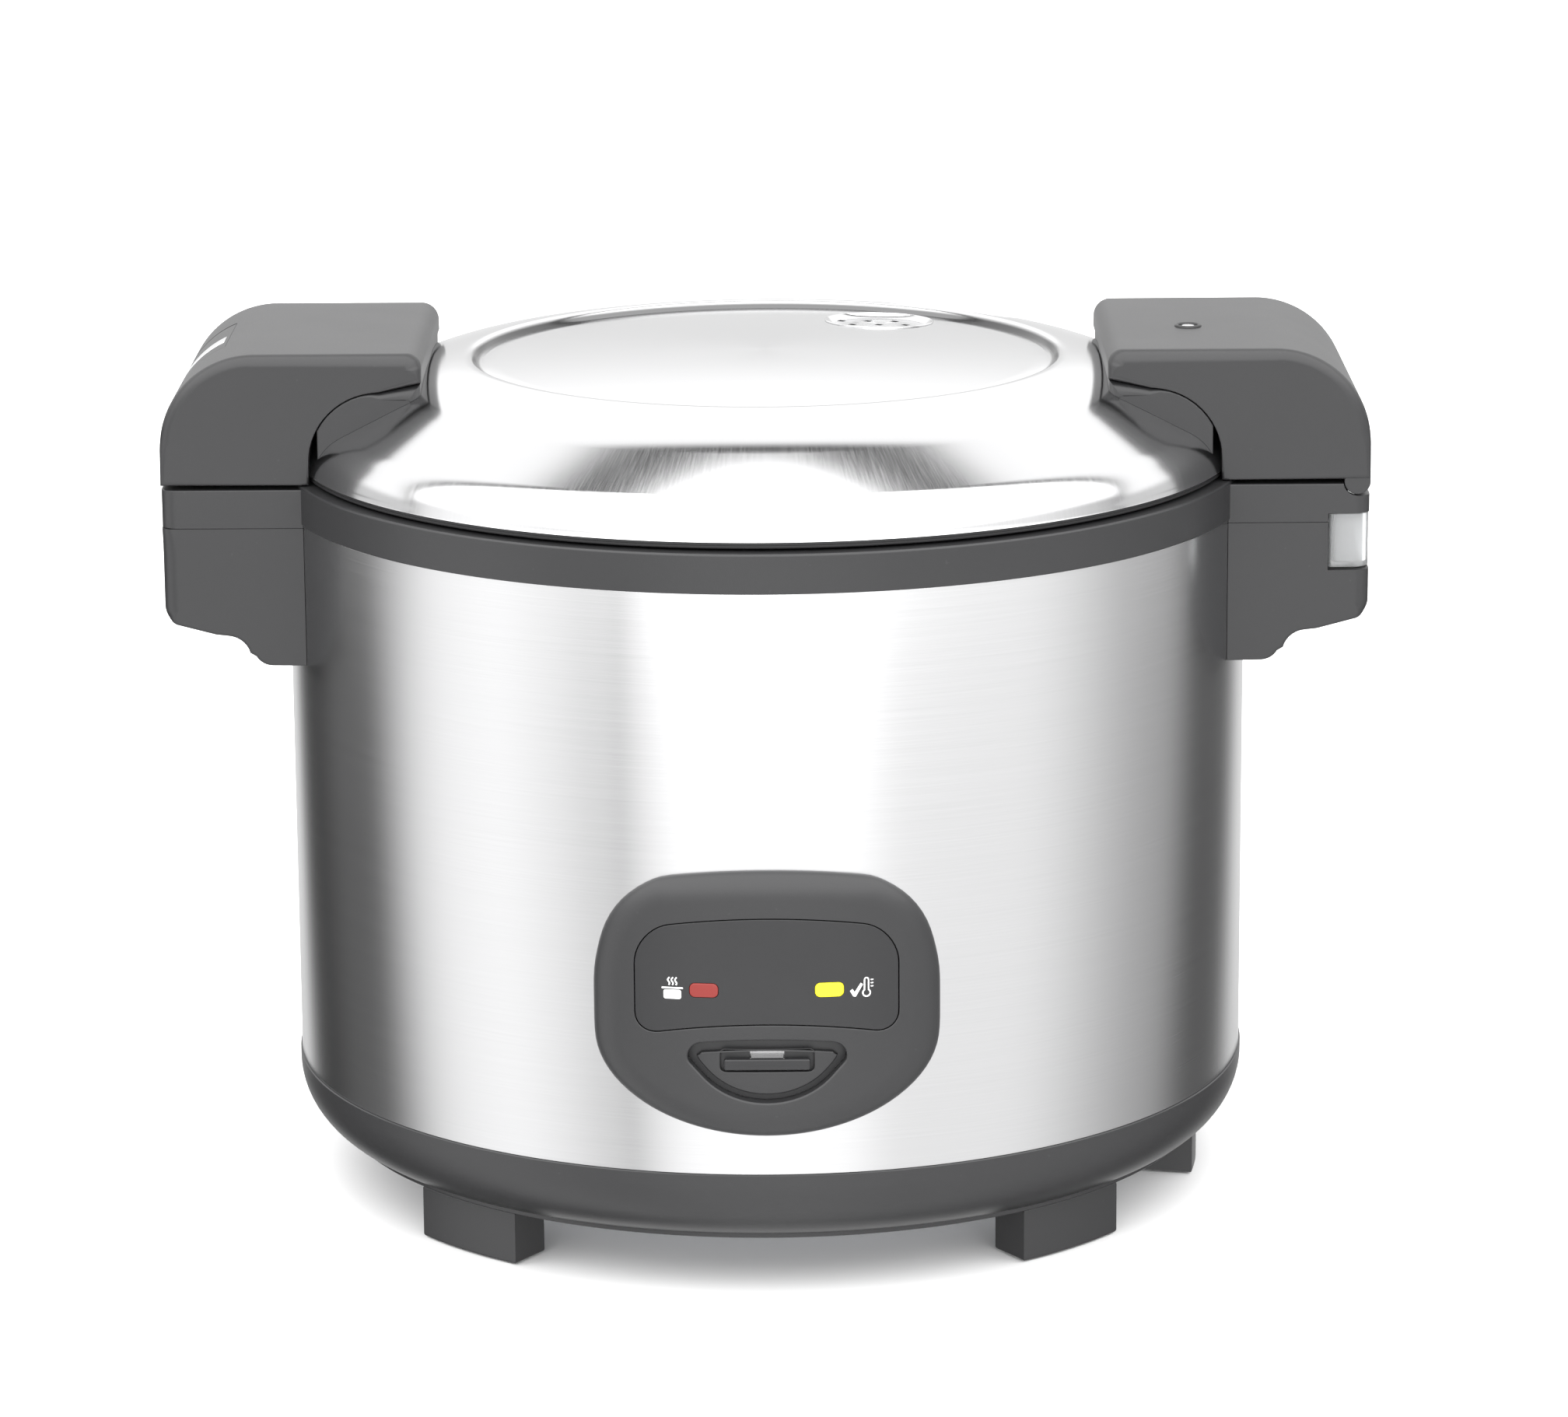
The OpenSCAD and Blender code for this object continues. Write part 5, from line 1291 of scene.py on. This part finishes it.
class CookerInlet(bpy.types.Operator):
    """Rear housing with the socket for a detachable lead"""

    bl_idname = "cooker.inlet"
    bl_label = "Power inlet"

    def execute(self, context):
        low, high = cad("inlet_housing")
        inner_low, inner_high = cad("power_inlet")
        middle_z = (low.z + high.z) / 2

        def rear(u, v, level):
            return (-u, math.sqrt(level * level - u * u), middle_z + v)

        half_w, half_h = high.x, (high.z - low.z) / 2
        opening = spread(rounded_box(-17.3, 17.3, -12.8, 12.8, 1.2, 4), 4)
        frame = spread(rounded_box(-half_w, half_w, -half_h, half_h, 6, 8), 4)
        housing = plate("inlet_frame", rounded_rings(frame, BODY_R + 0.05, FACE_R, 2.6, 6),
                        [hole_rings(opening, BODY_R + 0.05, FACE_R, 0.6)], rear, 5)
        dress(even_shading(housing), "body_plastic", "root", "inlet_housing")
        block = [(x, middle_z + z) for x, z in rounded_box(-17, 17, -12.5, 12.5, 1.5)]
        body = slab("inlet_socket", block, 0.5, inner_low.y, inner_high.y, steps=3)
        cut = [(-12.5, -8.5), (12.5, -8.5), (12.5, 4), (8, 8.5), (-8, 8.5), (-12.5, 4)]
        hollow = [(x, middle_z + z) for x, z in cut]
        combine(body, slab("socket", hollow, 0.3, inner_low.y + 2.5, FACE_R + 4, steps=1))
        dress(even_shading(body), "dark_plastic", "root", "power_inlet")
        pins = [slab("pin", [(x + u, middle_z + z + v) for u, v in rounded_box(-1, 1, -2, 2, 0.3, 3)], 0.5,
                     inner_low.y - 0.8, inner_low.y + 14.5, steps=2) for x, z in ((-7, -2), (7, -2), (0, 3))]
        dress(joined("brass_pins", pins), "pin_brass", "root", "inlet_pins")
        return {"FINISHED"}


# ---------------------------------------------------------------- lid


SLOPE = 28.8
SHOULDER_R = 20
CROWN_R = 87
CONE_W = 20.2
CREASE_R = 110.5
DISC_RISE = 3


def lid_line(inward=0.0):
    """Outer line of the lid from its edge to the middle, or the same line a wall further in."""
    slope = math.radians(SLOPE)
    cone_r1 = LID_R - SHOULDER_R * (1 - math.sin(slope))
    cone_z1 = LID_EDGE_Z - 2.5 + SHOULDER_R * math.cos(slope)
    cone_r0, cone_z0 = cone_r1 - CONE_W, cone_z1 + CONE_W * math.tan(slope)
    crown_r, crown_z = cone_r0 - CROWN_R * math.sin(slope), cone_z0 - CROWN_R * math.cos(slope)
    crease_a = math.asin((CREASE_R + 4 - crown_r) / CROWN_R)
    crease_z = crown_z + CROWN_R * math.cos(crease_a) - 3
    inner_r = CREASE_R - 3
    disc_r = (inner_r ** 2 + DISC_RISE ** 2) / (2 * DISC_RISE)
    disc_z = crease_z + DISC_RISE + 0.6 - disc_r
    disc_a = math.degrees(math.asin(inner_r / disc_r))
    points = [(LID_R - inward, LID_EDGE_Z)]
    points += arc(LID_R - SHOULDER_R, LID_EDGE_Z - 2.5, SHOULDER_R - inward, 9, 90 - SLOPE, 16)
    points += arc(crown_r, crown_z, CROWN_R - inward, 90 - SLOPE, 90 - math.degrees(crease_a), 20)
    points += [(CREASE_R + dr, crease_z + dz - inward) for dr, dz in (
        (2.9, 2.75), (2.1, 2.25), (1.4, 1.4), (0.8, 0.55), (0.3, 0.08), (-0.4, 0), (-1.2, 0.12), (-2.1, 0.38))]
    points += arc(0, disc_z, disc_r - inward, 90 - disc_a, 90, 24)
    return [(max(r, 0.0), z) for r, z in points[:-1]] + [(0, points[-1][1])]


def lid_height(r):
    """Height of the lid's outer face at a radius."""
    line = lid_line()
    for (r1, z1), (r0, z0) in zip(line, line[1:]):
        if r0 <= r <= r1 and r1 > r0:
            return z0 + (z1 - z0) * (r - r0) / (r1 - r0)
    return line[0][1]


class CookerLid(bpy.types.Operator):
    """Steel lid with its crease, steam vent, label and edge ring"""

    bl_idname = "cooker.lid"
    bl_label = "Lid"

    def execute(self, context):
        wall = 0.8
        shell = turned("lid_shell", lid_line(wall)[::-1] + lid_line(), smooth=50)
        vent_x, vent_y = (DUCT_LOW.x + DUCT_HIGH.x) / 2, (DUCT_LOW.y + DUCT_HIGH.y) / 2
        vent_r = 21
        vent_z = lid_height(math.hypot(vent_x, vent_y))
        opening = [(0, vent_z - 9), (vent_r - 0.2, vent_z - 9), (vent_r - 0.2, vent_z + 9), (0, vent_z + 9)]
        combine(shell, turned("vent opening", opening, (vent_x, vent_y)))
        shell.data.set_sharp_from_angle(angle=math.radians(50))
        dish = self.dish(vent_r, Vector((vent_x, vent_y, vent_z)))
        shell = joined("lid_shell", [shell, dish])
        dress(shell, "lid_steel", "lid", "lid_skin")
        ring_r = LID_R - 0.9
        section = [(LID_R - 14, Z_TOP + 0.9), (ring_r - 0.5, Z_TOP + 0.9)]
        section += arc(ring_r - 0.5, Z_TOP + 1.4, 0.5, -90, 0, 3)
        section += [(ring_r, Z_TOP + 2.0), (ring_r - 0.25, Z_TOP + 2.15), (ring_r - 0.25, Z_TOP + 2.3),
                    (ring_r, Z_TOP + 2.45), (ring_r, LID_EDGE_Z - 0.05), (LID_R - 1.7, LID_EDGE_Z - 0.05),
                    (LID_R - 2.4, LID_EDGE_Z + 5), (LID_R - 4.5, LID_EDGE_Z + 5), (LID_R - 4.5, Z_TOP + 3),
                    (LID_R - 14, Z_TOP + 3)]
        dress(turned("lid_edge_ring", section), "dark_plastic", "lid", "lid_ring")
        self.label()
        return {"FINISHED"}

    def dish(self, r, centre):
        """Shallow dish with nine square holes, tilted with the lid."""
        section = [(0, -2.4), (r - 1.9, -2.4), (r + 0.5, -0.5), (r + 0.5, 0.16)]
        section += arc(r + 0.1, 0.1, 0.35, 60, 150, 4)
        section += [(r - 2.2, -1.45), (r - 3, -1.6), (0, -1.6)]
        dish = turned("vent dish", section)
        cutter = slab("hole", rounded_box(-1.4, 1.4, -1.4, 1.4, 0.3, 2), 0.02, -6, 4, along="Z", steps=1)
        places = [(column * 8.6, (2 * k - 2 + abs(column)) * 6.0, 0, 0)
                  for column in range(-2, 3) for k in range(3 - abs(column))]
        combine(dish, repeated("vent holes", cutter, places, "lid_steel"))
        tilt = Vector((centre.x, centre.y, 1900)).to_track_quat("Z", "Y").to_matrix()
        for v in dish.data.vertices:
            v.co = tilt @ v.co + centre * MM
        return dish

    def label(self):
        """Blank oval film on the slope behind the vent."""
        turn = math.radians(53)
        out = (math.cos(turn), math.sin(turn))

        def place(u, v, level):
            a = CREASE_R + 13 + u
            x, y = a * out[0] - v * out[1], a * out[1] + v * out[0]
            return (x, y, lid_height(math.hypot(x, y)) + level)

        outline = spread(rounded_box(-6, 6, -30, 30, 5.9, 10), 2.5)
        rings = [(outline, -0.1), (outline, 0.2), (inset(outline, 0.1), 0.25)]
        film = plate("blank_label", rings, [], place, 2.5, 50)
        dress(film, "label_white", "lid", "lid_label")


class CookerLidInside(bpy.types.Operator):
    """Lift-off inner lid, gasket and knob"""

    bl_idname = "cooker.lid_inside"
    bl_label = "Inside of the lid"

    def execute(self, context):
        low, high = cad("inner_lid")
        under = low.z
        edge_r, flat = high.x, low.z + 8
        dish_r = edge_r - 23
        top = [(7, under + 1), (dish_r - 30, under + 1), (dish_r - 27, under + 2.2),
               (dish_r - 23, under + 2.2), (dish_r - 20, under + 1), (dish_r - 1, under + 1),
               (dish_r + 2.6, flat + 1), (edge_r - 0.5, flat + 1)]
        section = top + arc(edge_r - 0.5, flat + 0.5, 0.5, 90, -90, 5)
        section += [(dish_r + 3.6, flat), (dish_r + 0.2, under + 0.2), (dish_r - 1, under),
                    (dish_r - 19.6, under), (dish_r - 22.6, under + 1.2), (dish_r - 27.4, under + 1.2),
                    (dish_r - 30.4, under), (7, under)]
        plate_piece = turned("inner_lid_plate", section, smooth=45)
        vent = ((DUCT_LOW.x + DUCT_HIGH.x) / 2, (DUCT_LOW.y + DUCT_HIGH.y) / 2)
        hole = turned("steam hole", [(0, under - 3), (1.6, under - 3), (1.6, under + 4), (0, under + 4)])
        ring = [(vent[0] + 5 * math.cos(math.radians(a)), vent[1] + 5 * math.sin(math.radians(a)), 0, a)
                for a in range(0, 360, 60)]
        combine(plate_piece, repeated("steam holes", hole, ring, "pot_aluminium"))
        dress(plate_piece, "pot_aluminium", "lid", "inner_lid")
        low, high = cad("lid_gasket")
        r0, r1 = high.x - 7, high.x
        lip = [(r0, high.z), (r0, low.z + 2.6), (r0 + 0.6, low.z + 1.4), (r0 - 0.2, low.z + 0.5)]
        lip += [(r0 + 0.3, low.z), (r0 + 1.6, low.z + 0.9), (r0 + 3, low.z + 1.6), (r0 + 4.6, low.z + 1.6)]
        lip += [(r1 - 1.2, low.z + 0.2), (r1 - 0.3, low.z), (r1, low.z + 0.5), (r1 - 0.5, low.z + 1.4)]
        lip += [(r1, low.z + 2.6), (r1, high.z)]
        dress(turned("lipped_gasket", lip), "seal_grey", "lid", "lid_gasket")
        low, high = cad("lid_knob")
        section = [(0, low.z + 0.5), (6, low.z + 0.5), (7.5, low.z)] + arc(10.2, low.z + 0.8, 0.8, -90, 60, 6)
        section += [(9, low.z + 2), (6.9, low.z + 2.2), (6.9, low.z + 3), (8.5, low.z + 3.2)]
        section += [(8.2, low.z + 5), (4.1, low.z + 5), (4.1, low.z + 1.6), (0, low.z + 1.6)]
        dress(turned("rubber_knob", section), "rubber_black", "lid", "lid_knob")
        return {"FINISHED"}


class CookerPot(bpy.types.Operator):
    """Inner pot with its rolled flange"""

    bl_idname = "cooker.pot"
    bl_label = "Inner pot"

    def execute(self, context):
        bottom, top = POT_LOW.z, POT_HIGH.z
        pot_r, wall, bend = FLANGE_R - 13, 2, 18
        section = [(0, bottom)] + arc(pot_r - bend, bottom + bend, bend, -90, 0, 14)
        section += [(pot_r, top - 3), (pot_r + 0.6, top - 2.1)]
        section += [(pot_r + 1.6, top - 2), (FLANGE_R - 1, top - 2)]
        section += arc(FLANGE_R - 1, top - 1, 1, -90, 90, 8)
        section += arc(pot_r + 0.2, top - 2.2, 2.2, 90, 180, 6)
        section += [(pot_r - wall, top - 40), (pot_r - wall - 0.35, top - 41), (pot_r - wall, top - 42)]
        section += arc(pot_r - bend, bottom + bend, bend - wall, 0, -90, 14) + [(0, bottom + wall)]
        dress(turned("cooking_pot", section, smooth=50), "pot_aluminium", "root", "inner_pot")
        return {"FINISHED"}


# ---------------------------------------------------------------- stage


BACK_WALL = 0.95
# each has its middle, half width and soft edge in degrees from straight ahead, and how much it does
SOFT_BOXES = {"front": (0, 60, 50, 0.3), "centre": (0, 17, 16, 0.4), "left": (-74, 6, 20, 0.28)}
BLACK_FLAGS = {"left": (-127, 16, 20, 0.86), "left deep": (-141, 4, 14, 0.6), "right wall": (118, 6, 52, 0.45),
               "right": (133, 7, 19, 0.8), "pole": (-38, 2, 12, 0.2), "pole edge": (-34.5, 0.3, 2, 0.45)}


def round_the_horizon(nodes, turn):
    """Brightness at a turn in degrees: soft boxes add light to the wall, black flags take it away."""
    def reach(middle, half, soft):
        off = nodes.value("ShaderNodeMath", {0: turn - middle}, operation="ABSOLUTE")
        return 1 - nodes.smooth(off, half, half + soft)

    light = BACK_WALL
    for middle, half, soft, gain in SOFT_BOXES.values():
        light = light + reach(middle, half, soft) * gain
    for middle, half, soft, depth in BLACK_FLAGS.values():
        light = light * (1 - reach(middle, half, soft) * depth)
    return light


def room(settings):
    """Pale room: a soft box overhead with a dark back edge, and light that varies round the horizon."""
    world = bpy.data.worlds.new("pale room")
    world.use_nodes = True
    world.node_tree.nodes.clear()
    nodes = Nodes(world.node_tree)
    way = nodes.value("ShaderNodeTexCoord", output="Generated")
    split = nodes.add("ShaderNodeSeparateXYZ", {0: way})
    x, y, z = (Val(nodes, o) for o in split.outputs)
    turn = nodes.value("ShaderNodeMath", {0: x, 1: 0 - y}, operation="ARCTAN2") * math.degrees(1)
    low = round_the_horizon(nodes, turn) * settings.sky
    height = nodes.value("ShaderNodeMath", {0: z, 1: 0.02}, operation="MAXIMUM")
    aside = nodes.smooth(nodes.value("ShaderNodeMath", {0: x / height}, operation="ABSOLUTE"), 1.2, 4.0)
    edge = y / height - 0.37
    beyond = nodes.smooth(edge, 0.1, 0.24)
    back = (0.9 + nodes.smooth(z, 0.16, 0.3) * 0.6) * beyond + (1 - beyond) * 0.02
    overhead = (1 - aside) * settings.top + aside * low
    out = nodes.smooth(edge, 0.0, 0.025)
    above = (1 - out) * overhead + out * back
    rise = nodes.smooth(z, -0.02, 0.06)
    value = (1 - rise) * low + rise * above
    background = nodes.add("ShaderNodeBackground", {"Color": (1, 1, 1, 1), "Strength": value})
    output = nodes.add("ShaderNodeOutputWorld")
    nodes.tree.links.new(background.outputs[0], output.inputs[0])
    bpy.context.scene.world = world


class CookerStage(bpy.types.Operator):
    """Pale floor, room light and the camera"""

    bl_idname = "cooker.stage"
    bl_label = "Stage"

    def execute(self, context):
        settings = context.scene.cooker_stage
        half = 12000
        mesh = bpy.data.meshes.new("floor")
        mesh.from_pydata([Vector((x, y, -0.05)) * MM for x, y in ((-half, -half), (half, -half), (half, half),
                                                                   (-half, half))], [], [(0, 1, 2, 3)])
        floor = bpy.data.objects.new("floor", mesh)
        context.scene.collection.objects.link(floor)
        white, nodes, shader = new_material("pale floor")
        set_shader(nodes, shader, {
            "Base Color": (0.9, 0.9, 0.9, 1),
            "Roughness": 0.6,
            "Specular IOR Level": 0.2,
        })
        mesh.materials.append(white)
        floor.visible_glossy = False
        room(settings)
        context.scene.view_settings.view_transform = "Standard"
        self.camera(context, settings)
        return {"FINISHED"}

    def camera(self, context, settings):
        data = bpy.data.cameras.new("camera")
        data.sensor_width = 36
        data.sensor_fit = "HORIZONTAL"
        data.lens = settings.lens
        data.clip_start, data.clip_end = 0.05, 60
        camera = bpy.data.objects.new("camera", data)
        context.scene.collection.objects.link(camera)
        pitch, yaw, roll = (math.radians(a) for a in (settings.pitch, settings.yaw, settings.roll))
        ahead = Vector((math.sin(yaw) * math.cos(pitch), math.cos(yaw) * math.cos(pitch), -math.sin(pitch)))
        right = Vector((math.cos(yaw), -math.sin(yaw), 0))
        up = right.cross(ahead)
        tilted = right * math.cos(roll) + up * math.sin(roll)
        over = up * math.cos(roll) - right * math.sin(roll)
        turn = camera.matrix_world.to_3x3()
        for i in range(3):
            turn[i][0], turn[i][1], turn[i][2] = tilted[i], over[i], -ahead[i]
        camera.matrix_world = turn.to_4x4()
        camera.location = Vector((15.5, -2267.1, 733.8)) * MM
        context.scene.camera = camera


# ---------------------------------------------------------------- add-on


OPERATORS = [CookerBody, CookerFeet, CookerCovers, CookerPanel, CookerInlet, CookerPot, CookerLid,
             CookerLidInside, CookerLatchHandle, CookerHingeHandle, CookerStage]


class CookerPanelUi(bpy.types.Panel):
    """Lists the cooker's pieces"""

    bl_idname = "VIEW3D_PT_cooker"
    bl_label = "Rice cooker"
    bl_space_type = "VIEW_3D"
    bl_region_type = "UI"
    bl_category = "Rice cooker"

    def draw(self, context):
        for operator in OPERATORS:
            self.layout.operator(operator.bl_idname)
        for group in (context.scene.cooker_sizes, context.scene.cooker_colours, context.scene.cooker_stage):
            for name in group.__annotations__:
                self.layout.prop(group, name)


GROUPS = {"cooker_sizes": CookerSizes, "cooker_colours": CookerColours, "cooker_stage": StageSettings}


def register():
    for made in (*GROUPS.values(), *OPERATORS, CookerPanelUi):
        bpy.utils.register_class(made)
    for name, group in GROUPS.items():
        setattr(bpy.types.Scene, name, PointerProperty(type=group))


def unregister():
    for name in GROUPS:
        delattr(bpy.types.Scene, name)
    for made in reversed((*GROUPS.values(), *OPERATORS, CookerPanelUi)):
        bpy.utils.unregister_class(made)


def finish_cad_nodes():
    """Every CAD node gets the finish of its slot."""
    for part in frame["record"]["subparts"]:
        slots = frame["nodes"][part["node"]].data.materials
        finish = bpy.data.materials[FINISHES[part["material_slot"]]]
        for i in range(len(slots)):
            slots[i] = finish
        if not len(slots):
            slots.append(finish)


def main():
    register()
    FINISHES.update({slot: made.name for slot, made in make_finishes().items()})
    finish_cad_nodes()
    for operator in OPERATORS:
        group, name = operator.bl_idname.split(".")
        getattr(getattr(bpy.ops, group), name)()


if __name__ == "__main__":
    main()
